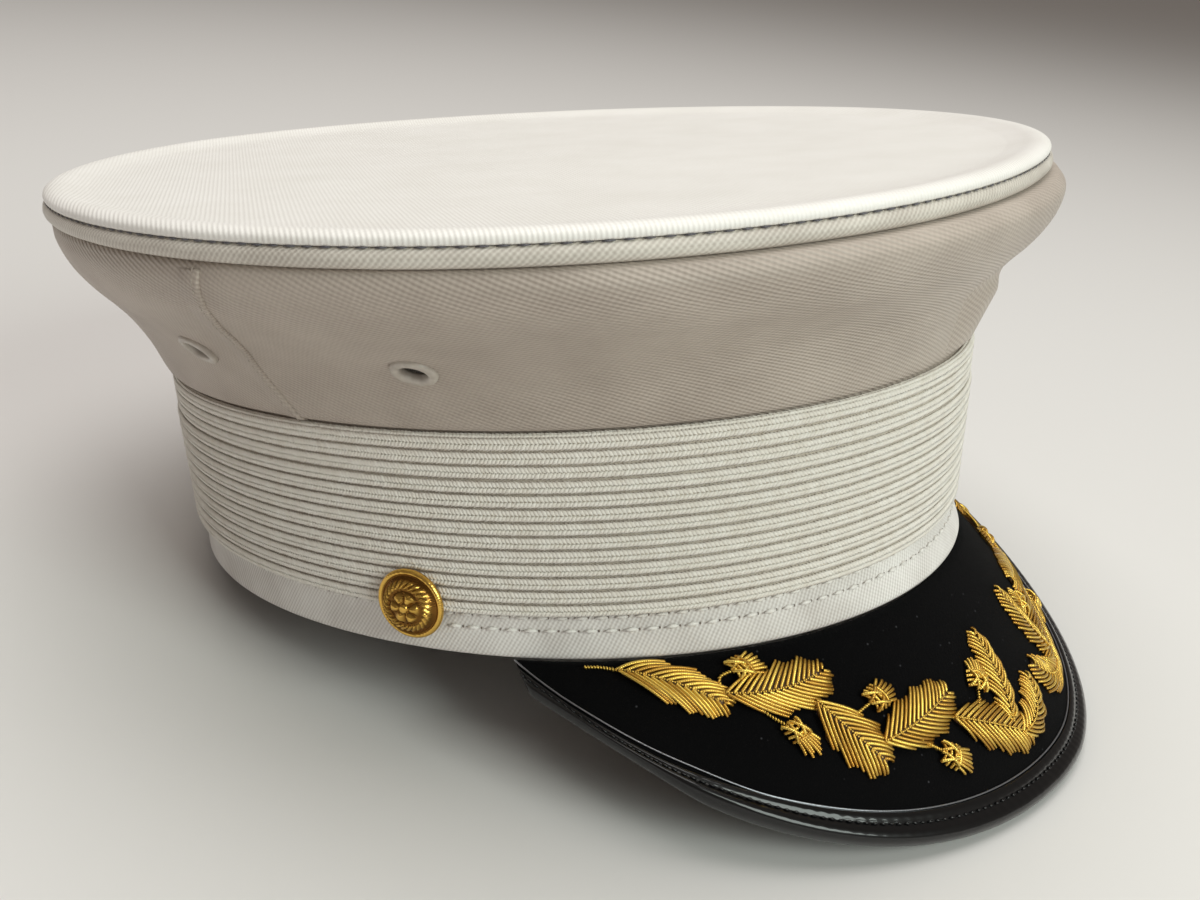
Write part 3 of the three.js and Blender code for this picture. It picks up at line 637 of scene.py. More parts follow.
def grain_rows_tree():
    """Grains laid nose to tail along paths: stitches, beads, braid chains and twisted cords.
    The paths carry their surface's normal as "up" and each grain's turn on it as "lean"."""
    tree, given, result = tree_with_inputs("Grain rows", [
        ("Spacing", "NodeSocketFloat"), ("Size", "NodeSocketVector"),
        ("Material", "NodeSocketMaterial")])
    path = add_node(tree, "GeometryNodeMeshToCurve", {"Mesh": given.outputs["Geometry"]})
    spots = add_node(tree, "GeometryNodeCurveToPoints", {
        "Curve": path.outputs["Curve"], "Length": given.outputs["Spacing"]}, mode="LENGTH")
    up = add_node(tree, "GeometryNodeInputNamedAttribute", {"Name": "up"},
                  data_type="FLOAT_VECTOR")
    lean = add_node(tree, "GeometryNodeInputNamedAttribute", {"Name": "lean"}, data_type="FLOAT")
    lying = add_node(tree, "FunctionNodeAxesToRotation", {
        "Primary Axis": up.outputs["Attribute"], "Secondary Axis": spots.outputs["Tangent"]},
        primary_axis="Z", secondary_axis="X")
    around = add_node(tree, "ShaderNodeCombineXYZ", {"Z": lean.outputs["Attribute"]})
    turn = add_node(tree, "FunctionNodeEulerToRotation", {"Euler": around.outputs["Vector"]})
    leaning = add_node(tree, "FunctionNodeRotateRotation", {
        "Rotation": lying.outputs["Rotation"], "Rotate By": turn.outputs["Rotation"]},
        rotation_space="LOCAL")
    grain = add_node(tree, "GeometryNodeMeshUVSphere", {"Segments": 4, "Rings": 3, "Radius": 0.5})
    uneven = add_node(tree, "FunctionNodeRandomValue", {"Min_001": 0.9, "Max_001": 1.08, "Seed": 7},
                      data_type="FLOAT")
    size = add_node(tree, "ShaderNodeVectorMath", {
        "Vector": given.outputs["Size"], "Scale": uneven.outputs[1]}, operation="SCALE")
    grains = add_node(tree, "GeometryNodeInstanceOnPoints", {
        "Points": spots.outputs["Points"], "Instance": grain.outputs["Mesh"],
        "Rotation": leaning.outputs["Rotation"], "Scale": size.outputs["Vector"]})
    real = add_node(tree, "GeometryNodeRealizeInstances", {"Geometry": grains.outputs["Instances"]})
    add_node_result(tree, real.outputs["Geometry"], given, result)
    return tree


def thread_tree():
    """Round threads along paths, each as thick as the "Radius" input."""
    tree, given, result = tree_with_inputs("Laid threads", [
        ("Radius", "NodeSocketFloat"), ("Sides", "NodeSocketInt"),
        ("Material", "NodeSocketMaterial")])
    path = add_node(tree, "GeometryNodeMeshToCurve", {"Mesh": given.outputs["Geometry"]})
    outline = add_node(tree, "GeometryNodeCurvePrimitiveCircle", {
        "Resolution": given.outputs["Sides"], "Radius": given.outputs["Radius"]})
    thread = add_node(tree, "GeometryNodeCurveToMesh", {
        "Curve": path.outputs["Curve"], "Profile Curve": outline.outputs["Curve"],
        "Fill Caps": True})
    real = add_node(tree, "GeometryNodeRealizeInstances", {"Geometry": thread.outputs["Mesh"]})
    add_node_result(tree, real.outputs["Geometry"], given, result)
    return tree


def add_node_result(tree, geometry, given, result):
    """Ends a tree: smooth faces, then the material."""
    smooth = add_node(tree, "GeometryNodeSetShadeSmooth", {"Geometry": geometry})
    painted = add_node(tree, "GeometryNodeSetMaterial", {
        "Geometry": smooth.outputs["Geometry"], "Material": given.outputs["Material"]})
    tree.links.new(painted.outputs["Geometry"], result.inputs["Geometry"])


def paths_object(name, paths, ups=None, leans=None, attributes=None):
    """An object of edges along paths, given in millimetres in the band frame. A path is
    (points, closed); ups, leans and each attribute hold one array or number for each path."""
    points, edges = [], []
    for line, closed in paths:
        first = sum(len(p) for p in points)
        points.append(np.asarray(line))
        edges += [(first + i, first + i + 1) for i in range(len(line) - 1)]
        if closed:
            edges.append((first + len(line) - 1, first))
    mesh = bpy.data.meshes.new(name)
    mesh.from_pydata(at_rest(np.vstack(points)).tolist(), edges, [])
    if ups is not None:
        up = mesh.attributes.new("up", "FLOAT_VECTOR", "POINT")
        up.data.foreach_set("vector", turned_to_rest(np.vstack(ups)).astype(np.float32).ravel())
    values = {"lean": leans} if leans is not None else {}
    for label, given in {**values, **(attributes or {})}.items():
        layer = mesh.attributes.new(label, "FLOAT", "POINT")
        spread = [np.broadcast_to(value, (len(line),)) for value, (line, _) in zip(given, paths)]
        layer.data.foreach_set("value", np.concatenate(spread).astype(np.float32))
    return linked(mesh)


def grown(piece, tree, values):
    """Runs a geometry node tree on an object with these inputs, and keeps the plain mesh."""
    modifier = piece.modifiers.new("Grown", "NODES")
    modifier.node_group = tree
    for item in tree.interface.items_tree:
        if item.item_type == "SOCKET" and item.in_out == "INPUT" and item.name in values:
            modifier[item.identifier] = values[item.name]
    if not applied(piece).polygons:
        raise RuntimeError(f"{piece.name} came out empty")


def lay_grains(name, paths, ups, leans, *, spacing, size, material, attributes=None):
    """A piece of grains along paths: the spacing in metres, the grain's size in millimetres."""
    made = paths_object(name, paths, ups, leans, attributes)
    grown(made, bpy.data.node_groups["Grain rows"], {
        "Spacing": spacing, "Size": tuple(v * MM for v in size), "Material": material})
    placed_piece(made)


def lay_threads(name, paths, *, radius, sides, material, node=None, attributes=None):
    """A piece of round threads along paths, with their radius in millimetres."""
    made = paths_object(name, paths, attributes=attributes)
    grown(made, bpy.data.node_groups["Laid threads"], {
        "Radius": radius * MM, "Sides": sides, "Material": material})
    placed_piece(made, node)


class CapOperator:
    """Builds its pieces from the cap's settings."""

    def execute(self, context):
        self.build(context.scene.peaked_cap)
        return {"FINISHED"}


def length_property(name, description, size_mm):
    return FloatProperty(name=name, description=description, default=size_mm * MM,
                         unit="LENGTH", precision=5)


def colour_property(name, description, hex_colour):
    return FloatVectorProperty(
        name=name, description=description, subtype="COLOR", size=4, min=0.0, max=1.0,
        default=linear(hex_colour))


class CapCrownSettings(bpy.types.PropertyGroup):
    """Sizes of the crown."""

    columns: IntProperty(
        name="Columns", description="Faces round the cap", default=288, min=96, max=480)
    cord_radius: length_property(
        "Cord radius", "Covered cord in the crown's edge seam", 1.85)
    seam_lap: length_property(
        "Seam lap", "Height of the folded edge at the side seams", 0.5)
    eyelet_radius: length_property(
        "Eyelet radius", "Outer radius of the vent eyelets", 4.7)


class CapBandSettings(bpy.types.PropertyGroup):
    """Sizes of the band and its braid."""

    ribs: IntProperty(name="Ribs", description="Ribs in the braid", default=13, min=5, max=20)
    chain_pitch: length_property(
        "Chain pitch", "Distance between the slanted stitches of a rib", 0.85)
    rib_height: length_property(
        "Rib height", "Height of the braid's rounded ribs", 1.1)
    stitch_pitch: length_property(
        "Stitch pitch", "Distance between the stitches along the lower strip", 4.2)
    button_radius: length_property(
        "Button radius", "Radius of the side buttons", 7.9)


class CapPeakSettings(bpy.types.PropertyGroup):
    """Sizes of the peak and its embroidery."""

    thread_pitch: length_property(
        "Thread pitch", "Distance between the bullion threads of a leaf", 0.98)
    bead_pitch: length_property(
        "Bead pitch", "Distance between the beads of a leaf's midrib", 0.55)
    wire_inset: length_property(
        "Wire inset", "Silver wire's distance inside the rim", 7.25)
    edge_stitch_pitch: length_property(
        "Edge stitch pitch", "Distance between the stitches of the binding", 2.0)


class CapColours(bpy.types.PropertyGroup):
    """Colours of the cap."""

    # The crown wall is the same white cloth as the top: its darker, warmer colour is painted shade
    # under the crown's overhang.
    wall: colour_property("Crown wall", "Coated twill of the crown's wall", "#bfb3a8")
    # Wall shade: the twill's grooves are mixed towards it as painted shade, and the handling marks
    # as real tone.
    wall_shade: colour_property("Crown wall shade", "Its grooves and marks", "#8f8177")
    cover: colour_property("Crown top", "Coated cloth of the top", "#f3f0ec")
    # Top shade: the top's grooves are mixed towards it as painted shade, and the handling marks as
    # real tone.
    cover_shade: colour_property("Crown top shade", "Its grooves and marks", "#e3dfd8")
    braid: colour_property("Braid", "Mohair of the braid", "#f8f5ef")
    # Braid shade gives some chains a random darker tone; the ground between the ribs also takes it
    # as painted shade.
    braid_shade: colour_property("Braid shade", "Darker chains of the braid", "#dcd3c6")
    # Braid ground: the same white yarn as the braid, painted darker as shade in the valleys between
    # the ribs.
    braid_ground_shade: colour_property("Braid ground", "Deepest yarn between the ribs", "#c4b9ab")
    felt: colour_property("Felt", "Black wool felt", "#050506")
    lint: colour_property("Lint", "Specks on the felt", "#454548")
    patent: colour_property("Patent leather", "Black lacquer", "#050506")
    # Bright gold is the bullion's lit tone; deep gold gives some threads a random darker tone and
    # is painted shade where threads lie low over the felt.
    gold: colour_property("Bright gold", "Bullion where it is clean", "#ffdb6c")
    gold_shade: colour_property("Deep gold", "Bullion and gilt in the grooves", "#a66a15")
    gilt: colour_property("Gilt", "Gilt of the buttons", "#e6b95c")
    gilt_shade: colour_property("Gilt shade", "Ground of the buttons", "#7a5426")
    # The eyelets' white enamel is greyed towards the wall's colour, as painted shade.
    enamel: colour_property("Eyelets", "White enamel", "#d6cfc5")
    silver: colour_property("Wire", "Silver wire round the felt", "#b4b6bb")
    floor: colour_property("Floor", "Plain pale floor", "#dbd9d7")


class PeakedCapSettings(bpy.types.PropertyGroup):
    """All settings of the cap."""

    crown: PointerProperty(type=CapCrownSettings)
    band: PointerProperty(type=CapBandSettings)
    peak: PointerProperty(type=CapPeakSettings)
    colours: PointerProperty(type=CapColours)


def wall_cloth(colours):
    """Coated diagonal twill, whose wales run down towards the right."""
    found = bpy.data.materials.get("coated_cotton_twill")
    return found or coated_cloth(
        "coated_cotton_twill", colours.wall, colours.wall_shade, pitch=1.0,
        turn=math.radians(-60), depth=0.2, roughness=0.46)


def cover_cloth(colours):
    found = bpy.data.materials.get("coated_fine_cotton")
    return found or coated_cloth(
        "coated_fine_cotton", colours.cover, colours.cover_shade, pitch=0.9,
        turn=math.radians(45), depth=0.10, roughness=0.5)


def cord_cloth(colours):
    # The cord is the same white cloth as the top; its greyer colour is painted shade under the
    # roll.
    return coated_cloth(
        "coated_bias_strip", linear("#ddd7cd"), colours.wall_shade, pitch=0.9,
        turn=math.radians(45), depth=0.10, roughness=0.48)


def white_thread(colours):
    found = bpy.data.materials.get("white_cotton_thread")
    return found or sewing_thread("white_cotton_thread", colours.cover, colours.cover_shade)


def seat_on(section_at, angle, level, span):
    """Where a turned part sits on a wall, and the way it faces."""
    spot = np.array([angle])
    below = section_at(level - span).points(spot)[0]
    above = section_at(level + span).points(spot)[0]
    around = section_at(level).points(spot + 0.01)[0] - section_at(level).points(spot - 0.01)[0]
    axis = np.cross(around, above - below)
    return (below + above) / 2, axis / np.linalg.norm(axis)


def turned_grid(profile, seat, segments):
    """Rings of points round a seat's axis, one for each radius and height."""
    middle, axis = seat
    side = np.cross((0, 0, 1), axis)
    side /= np.linalg.norm(side)
    upright = np.cross(axis, side)
    turn = ring(segments)
    spoke = np.cos(turn)[:, None] * side + np.sin(turn)[:, None] * upright
    return np.array([middle + radius * spoke + axis * height for radius, height in profile])


SIDES = (("right", 1), ("left", -1))
VENTS = (
    ("left_front", math.radians(-12.6)),
    ("left_rear", math.radians(16.4)),
    ("right_rear", math.radians(180 - 16.4)),
    ("right_front", math.radians(180 + 12.6)),
)
VENT_RISE = 0.41
VENT_SPAN = 0.08
VENT_HOLE_RADIUS = 3.9
# How far a hole's cutter reaches behind the wall and in front of it
VENT_CUT = (-7, 5)

# Lip that tucks under the cord: outwards from the cord's line, and upwards
CROWN_LIP = ((0.0, -1.8), (-4.5, -1.1), (-5.5, -3.1), (-2.6, -4.9))

# Side seam on the wearer's right: rise, and turn from the side towards the front in degrees
SIDE_SEAM = np.array([
    (0.03, -5.4), (0.18, -6.8), (0.35, -7.4), (0.57, -5.8), (0.70, -4.6), (0.80, -3.9),
    (0.90, -3.1), (0.95, -2.8), (0.985, -2.6),
])
SEAM_END = 0.93
SEAM_RADIUS = 105.0
SEAM_STITCH_ASIDE = 1.3
# Folded edge of the lapped panel: distance from the seam, and height as a share of the lap
LAP_PROFILE = (
    (0.0, -0.5), (0.0, 0.5), (0.35, 1.0), (0.9, 1.0), (2.4, 0.55), (5.0, 0.05), (5.4, -0.5),
)


def on_crown(angles, rises, height):
    """Points at a height above the crown's wall."""
    points = np.empty((len(angles), 3))
    normals = np.empty((len(angles), 3))
    for k, (angle, rise) in enumerate(zip(angles, rises)):
        section = crown_wall_at(rise)
        here = section.points(np.array([angle - 0.004, angle, angle + 0.004]))
        over = crown_wall_at(rise + 0.01).points(np.array([angle]))[0]
        normal = np.cross(here[2] - here[0], over - here[1])
        points[k] = here[1]
        normals[k] = normal / np.linalg.norm(normal)
    return points + normals * np.reshape(height, (-1, 1)), normals


class CAP_OT_crown_wall(CapOperator, bpy.types.Operator):
    """Build the crown's flared wall with its vent holes and lapped side seams"""

    bl_idname = "peaked_cap.crown_wall"
    bl_label = "Crown Wall"

    def build(self, settings):
        cloth = wall_cloth(settings.colours)
        columns = settings.crown.columns
        profile = smooth_rows(CROWN_PROFILE, 6)
        outer = [crown_row(row) for row in profile]
        lip = [PIPING_LINE.shifted(out, up) for out, up in CROWN_LIP]
        inner = [section.shifted(-CROWN_WALL) for section in outer[::-3]]
        grid = ring_grid([*outer, *lip, *inner], columns)
        uv = round_uv(grid, rows_meet=True)
        wall = new_piece(ring_mesh("crown_wall", grid), cloth, "crown_side")
        self.cut_vents(wall)
        lap = settings.crown.seam_lap / MM
        # The seam thread is greyed like the wall, as painted shade.
        matching = sewing_thread("matching_cotton_thread", linear("#d8d0c4"),
                                 settings.colours.wall_shade)
        around = np.append(ring(columns), FULL_TURN)
        for side, mirror in SIDES:
            self.lapped_seam(side, mirror, lap, cloth, (around, uv[0, :, 0]),
                             (profile[:, 0], uv[:len(profile), 0, 1]))
            self.seam_stitches(side, mirror, lap, matching)

    def cut_vents(self, wall):
        cutters = []
        for name, angle in VENTS:
            seat = seat_on(crown_wall_at, angle, VENT_RISE, VENT_SPAN)
            grid = turned_grid([(VENT_HOLE_RADIUS, depth) for depth in VENT_CUT], seat, 24)
            poles = [seat[0] + seat[1] * depth for depth in VENT_CUT]
            uv = metre_uv(2, 25, np.arange(25), np.arange(2))
            cutter = linked(shell(f"cutter_{name}", grid, uv, poles=poles))
            hole = wall.modifiers.new(name, "BOOLEAN")
            hole.operation = "DIFFERENCE"
            hole.object = cutter
            cutters.append(cutter)
        applied(wall)
        for cutter in cutters:
            bpy.data.meshes.remove(cutter.data)

    def seam_place(self, mirror, rises, aside):
        """Angles of the seam at these rises, moved aside towards the rear in millimetres."""
        smooth = smooth_rows(SIDE_SEAM, 6)
        turn = np.radians(np.interp(rises, smooth[:, 0], smooth[:, 1])) - aside / SEAM_RADIUS
        return HALF_TURN + turn if mirror > 0 else -turn

    def lapped_seam(self, side, mirror, lap, cloth, across, down):
        rises = np.linspace(SIDE_SEAM[0, 0], SEAM_END, 90)
        rows = []
        uvs = []
        for distance, share in LAP_PROFILE:
            angles = self.seam_place(mirror, rises, distance)
            points, _ = on_crown(angles, rises, lap * share)
            rows.append(points)
            uvs.append(np.stack([np.interp(angles % FULL_TURN, *across),
                                 np.interp(rises, *down)], axis=-1))
        grid = np.array(rows).transpose(1, 0, 2)
        uv = np.array(uvs + uvs[:1]).transpose(1, 0, 2)
        mesh = shell(f"crown_seam_{side}", grid, uv, capped=True)
        new_piece(mesh, cloth)

    def seam_stitches(self, side, mirror, lap, thread):
        rises = np.linspace(SIDE_SEAM[0, 0], SEAM_END, 200)
        place = self.seam_place(mirror, rises, SEAM_STITCH_ASIDE)
        points, normals = on_crown(place, rises, lap * 0.95)
        lay_grains(f"crown_seam_stitches_{side}", [(points, False)], [normals], [0.0],
                   spacing=2.4 * MM, size=(1.7, 0.35, 0.25), material=thread)


# Roll round the crown's top: outwards from the cord's line, and upwards, from its underside
ROLL_PROFILE = np.array([
    (-7.0, 0.2), (-3.6, 1.3), (-1.2, 2.0), (0.7, 2.15), (1.3, 2.9), (0.9, 3.9), (-0.6, 4.6),
    (-2.8, 4.6), (-5.4, 4.0), (-9.0, 3.3),
])
TOP_RING_INSET = 61
# Rows of the top as shares of the way out: from its middle to the inner ring, and from there to
# the roll, below and above
MIDDLE_ROWS = np.linspace(0.12, 1.0, 8)
LOWER_ROWS = (0.35, 0.7)
UPPER_ROWS = (0.15, 0.3, 0.5, 0.75)
CORD_RAISE = 0.15
EDGE_STITCH_LINE = (1.0, 2.05)


class CAP_OT_crown_cover(CapOperator, bpy.types.Operator):
    """Build the crown's flat top with its rolled edge, and the covered cord under it"""

    bl_idname = "peaked_cap.crown_cover"
    bl_label = "Crown Top"

    def build(self, settings):
        cloth = cover_cloth(settings.colours)
        columns = settings.crown.columns
        angles = ring(columns)
        under_middle = TOP_MIDDLE - (0, 0, TOP_THICKNESS)
        rims = [PIPING_LINE.shifted(out, up).points(angles)
                for out, up in smooth_rows(ROLL_PROFILE, 4)]
        inside = PIPING_LINE.shifted(-TOP_RING_INSET).points(angles)
        above = inside + (0, 0, ROLL_HEIGHT - TOP_SAG)
        below = inside + (0, 0, ROLL_HEIGHT - TOP_SAG - TOP_THICKNESS)
        rows = [under_middle + (below - under_middle) * k for k in MIDDLE_ROWS]
        rows += [below + (rims[0] - below) * k for k in LOWER_ROWS]
        rows += rims
        rows += [rims[-1] + (above - rims[-1]) * k for k in UPPER_ROWS]
        rows += [TOP_MIDDLE + (above - TOP_MIDDLE) * k for k in MIDDLE_ROWS[::-1]]
        grid = np.array(rows)
        uv = np.concatenate([grid, grid[:, :1]], axis=1)[..., :2] * MM
        mesh = shell("crown_cover", grid, uv, poles=[under_middle, TOP_MIDDLE])
        cover = new_piece(mesh, cloth, "crown_top")
        radius = settings.crown.cord_radius / MM
        tube = ring_grid([
            PIPING_LINE.shifted(radius * math.cos(t), CORD_RAISE + radius * math.sin(t))
            for t in ring(14)], columns)
        new_piece(ring_mesh("crown_cord", tube), cord_cloth(settings.colours),
                  "crown_piping")
        self.edge_stitches(settings)

    def edge_stitches(self, settings):
        """Dark thread in the crevice between the roll and the cord."""
        line = PIPING_LINE.shifted(*EDGE_STITCH_LINE).points(ring(720))
        thread = sewing_thread("dark_cotton_thread", linear("#77747c"), linear("#4a484f"))
        lay_grains("crown_edge_stitches", [(line, True)],
                   [np.broadcast_to((0.0, 0.0, 1.0), line.shape)], [0.0],
                   spacing=3.4 * MM, size=(2.5, 0.38, 0.34), material=thread)


STAY_HALF_ANGLE = math.radians(7.5)
# Front stay's outline: rise and spread of its lower and upper ends, in front of the wall
STAY_LOWER = (0.05, 0.06)
STAY_UPPER = (0.54, 0.74)
STAY_PROUD = 0.7
STAY_BURIED = 0.25
STAY_THICKNESS = 0.4
# Where the ridge is full: share of its half-width, and shares of its height
STAY_CREST = 0.12
STAY_FULL = (0.15, 0.66)


class CAP_OT_front_stay(CapOperator, bpy.types.Operator):
    """Build the stay that shows as a soft straight ridge down the middle of the front"""

    bl_idname = "peaked_cap.front_stay"
    bl_label = "Front Stay"

    def build(self, settings):
        steps = np.linspace(-1, 1, 33)
        angles = -HALF_TURN / 2 + steps * STAY_HALF_ANGLE
        swell = (1 - smoothstep(np.abs(steps), STAY_CREST, 1.0))[:, None]
        front, back = [], []
        for share in np.linspace(0, 1, 24):
            rise, flare = np.array(STAY_LOWER) + (np.array(STAY_UPPER) - STAY_LOWER) * share
            wall = crown_wall_at(rise)
            buried = wall.shifted(-STAY_BURIED).points(angles)
            ridge = between(CROWN_FOOT, PIPING_LINE, rise, flare).shifted(STAY_PROUD)
            ends = smoothstep(share, 0.0, STAY_FULL[0]) * (1 - smoothstep(share, STAY_FULL[1], 1.0))
            front.append(buried + (ridge.points(angles) - buried) * swell * ends)
            back.append(wall.shifted(-STAY_BURIED - STAY_THICKNESS).points(angles))
        mesh = bar_mesh("crown_stay", front + back[::-1], side=8, uv_order=-1)
        new_piece(mesh, wall_cloth(settings.colours), "front_stay")


# Eyelet's cross-section: radius as a share of the outer one, and height above its seat
EYELET_PROFILE = np.array([
    (0.72, -1.3), (0.72, -1.0), (0.74, -0.8), (0.99, -0.6), (1.0, 0.1), (0.96, 0.5), (0.88, 0.7),
    (0.78, 0.75), (0.67, 0.6), (0.60, 0.2), (0.57, -0.4), (0.57, -1.3),
])


class CAP_OT_eyelets(CapOperator, bpy.types.Operator):
    """Build the four enamelled vent eyelets"""

    bl_idname = "peaked_cap.eyelets"
    bl_label = "Eyelets"

    def build(self, settings):
        colours = settings.colours
        enamel = white_enamel("white_enamelled_brass", colours.enamel, colours.wall_shade)
        profile = smooth_rows(EYELET_PROFILE, 2) * (settings.crown.eyelet_radius / MM, 1)
        for name, angle in VENTS:
            seat = seat_on(crown_wall_at, angle, VENT_RISE, VENT_SPAN)
            grid = turned_grid(profile, seat, 40)
            new_piece(ring_mesh(f"vent_ring_{name}", grid), enamel,
                      f"eyelet_{name}")


# Bottom fold of the band: inwards from its outer face, and upwards
BAND_FOLD = ((2.0, 0.9), (1.6, 0.25), (1.0, 0.0), (0.4, 0.2), (0.05, 0.8))
BAND_HEIGHTS = np.array([1.6, 3, 5, 7, 9, 12, 20, 30, 40, 46.6, 47])
NEEDLE_HOLE = (0.5, 0.75, 0.24)
# Thickness and height of a stitch on the strip, and its length as a share of the pitch
STITCH_ROUND = (1.1, 0.85)
STITCH_SHARE = 0.88
# Rows of stitches on the lower strip: height, and the turns from the rear that they span
STRIP_STITCHES = (
    ("upper", 9.2, math.radians(-180), math.radians(180)),
    ("peak", 6.4, math.radians(12), math.radians(168)),
)


class CAP_OT_band(CapOperator, bpy.types.Operator):
    """Build the band's wall with its folded lower edge and rows of stitches"""

    bl_idname = "peaked_cap.band"
    bl_label = "Band"

    def build(self, settings):
        columns = settings.crown.columns
        rows = [band_at(up).shifted(-inwards) for inwards, up in BAND_FOLD]
        rows += [band_at(height) for height in BAND_HEIGHTS]
        rows += [band_at(height).shifted(-BAND_WALL) for height in BAND_HEIGHTS[::-2]]
        grid = ring_grid(rows, columns)
        cloth = self.strip_cloth(settings.colours)
        band = new_piece(ring_mesh("band_wall", grid), cloth, "band_body")
        for name, height, start, end in STRIP_STITCHES:
            self.stitches(name, height, start, end, settings)

    def strip_cloth(self, colours):
        return coated_cloth("coated_smooth_cotton", colours.cover, colours.wall_shade,
                            pitch=0.8, turn=math.radians(35), depth=0.06, roughness=0.42)

    def stitches(self, name, height, start, end, settings):
        """Thread along the strip, and dark grains painted as the shade in the needle holes where it
        goes through.
        """
        pitch = settings.band.stitch_pitch / MM
        angles = -HALF_TURN / 2 + np.linspace(start, end, 600) - (start + end) / 2
        line = band_at(height).shifted(0.15).points(angles)
        outward = band_at(height).shifted(1.05).points(angles) - line
        marks = evenly_spaced(line, 0.5)
        thread = white_thread(settings.colours)
        # Needle holes are dark grains between the stitches: painted shade in the holes.
        dark = sewing_thread(f"needle_hole_shade_{name}", linear("#85786d"), linear("#5d5047"))
        looks = (
            ("thread", 0.0, (STITCH_SHARE * pitch, *STITCH_ROUND), thread),
            ("hole", pitch / 2, NEEDLE_HOLE, dark),
        )
        for kind, offset, size, look in looks:
            part = evenly_spaced(marks, 0.5, start=offset)
            share = np.linspace(0, 1, len(part))
            up = np.stack([np.interp(share, np.linspace(0, 1, len(line)), outward[:, k])
                           for k in range(3)], axis=-1)
            lay_grains(f"band_{kind}s_{name}", [(part, False)], [up], [0.0],
                       spacing=pitch * MM, size=size, material=look)


BRAID_BACK = 0.4
BRAID_TOP_BACK = -0.05
BRAID_BASE = 1.15
RIB_CREST = 0.75
RIB_ROUNDNESS = 0.6
ROWS_PER_RIB = 6
CHAIN_RAISE = 0.08
# A chain's grain: length, width and height, and its lean from the rib
CHAIN_GRAIN = (2.5, 1.15, 0.75)
CHAIN_LEAN = math.radians(44)
# Height of a chain row within its rib, as a share of the rib's pitch
CHAIN_ROWS = (0.28, 0.72)
# Rows over the braid's upper edge: phase within the last rib, and height above its surface
EDGE_ROWS = ((0.97, -0.1), (1.0, -0.65))
FLAT_RIBS = 3


class CAP_OT_braid(CapOperator, bpy.types.Operator):
    """Build the ribbed mohair braid: a ribbed ground, and its chains of slanted stitches"""

    bl_idname = "peaked_cap.braid"
    bl_label = "Braid"

    def build(self, settings):
        colours = settings.colours
        mohair = mohair_braid("mohair_braid", colours.braid, colours.braid_shade)
        ribs = settings.band.ribs
        phases = np.linspace(0, ribs, ribs * ROWS_PER_RIB + 1)
        rows = [self.section(phase, settings) for phase in phases]
        top, bottom = self.place(ribs, settings), self.place(0, settings)
        rows += [top.shifted(BRAID_TOP_BACK), bottom.shifted(BRAID_BACK)]
        grid = ring_grid(rows, settings.crown.columns)
        # The ground between the ribs is painted in darker yarn colours, as shade in the valleys.
        yarn = mohair_braid("mohair_braid_shaded_ground", colours.braid_shade, colours.braid_ground_shade)
        ground = new_piece(ring_mesh("braid_ground_shade", grid), yarn, "band_braid")
        halves = (("lower", range(0, (ribs + 1) // 2)), ("upper", range((ribs + 1) // 2, ribs)))
        for name, span in halves:
            self.chains(name, span, settings, mohair)

    def place(self, phase, settings):
        """The band's outer face at a phase of the ribs, from the strip to past the band's top."""
        lower = BAND_WAIST
        upper = BAND_TOP_EDGE.shifted(0, BRAID_TOP_OVERLAP)
        share = phase / settings.band.ribs
        return between(lower, upper, share, share)

    def section(self, phase, settings, above=0.0):
        flat = 0.5 if phase > settings.band.ribs - FLAT_RIBS else 1.0
        crest = settings.band.rib_height / MM * RIB_CREST * flat
        return self.place(phase, settings).shifted(
            BRAID_BASE + crest * abs(math.sin(HALF_TURN * phase)) ** RIB_ROUNDNESS + above)

    def chains(self, name, span, settings, mohair):
        angles = ring(360)
        paths, ups, leans = [], [], []
        for rib in span:
            for row, lean in zip(CHAIN_ROWS, (CHAIN_LEAN, -CHAIN_LEAN)):
                here = self.section(rib + row, settings, above=CHAIN_RAISE).points(angles)
                around = np.roll(here, -1, axis=0) - np.roll(here, 1, axis=0)
                over = (self.section(rib + row + 0.12, settings).points(angles)
                        - self.section(rib + row - 0.12, settings).points(angles))
                paths.append((here, True))
                ups.append(np.cross(around, over))
                leans.append(lean)
        if span[-1] == settings.band.ribs - 1:
            for row, above in EDGE_ROWS:
                edge = self.section(span[-1] + row, settings, above=above)
                paths.append((edge.points(angles), True))
                ups.append(ups[-1])
                leans.append(CHAIN_LEAN / 4)
        lay_grains(f"braid_chains_{name}", paths, ups, leans,
                   spacing=settings.band.chain_pitch, size=CHAIN_GRAIN, material=mohair)


BOARD_INSET = 1.7
CORNER_INSET = 2.4
CORNER_TRIM_START = math.radians(66)

# Cross-section of the binding: inwards from the rim, and up from the felt's upper face
BINDING_PROFILE = np.array([
    (6.8, 0.1), (6.95, 0.6), (6.6, 0.95), (5.6, 1.1), (5.0, 0.95), (4.5, 0.8), (4.0, 1.0),
    (3.2, 1.5), (2.2, 1.75), (1.2, 1.5), (0.45, 0.8), (0.05, -0.3), (0.0, -1.4), (0.1, -2.3),
    (0.6, -3.2), (1.6, -3.8), (3.4, -4.0), (5.2, -4.0), (5.2, -3.0), (1.3, -3.0), (1.3, 0.2),
])
BINDING_STITCH_INSET = 4.5
# The binding puckers at its stitches: number of puckers, height, middle, and reach to each side
PUCKERS = 96
PUCKER_HEIGHT = 0.03
PUCKER_INSET = 4.2
PUCKER_REACH = 2.6
WIRE_RADIUS = 0.2
WIRE_CORNER_INSET = 2.2
WIRE_DRIFT_START = math.radians(60)


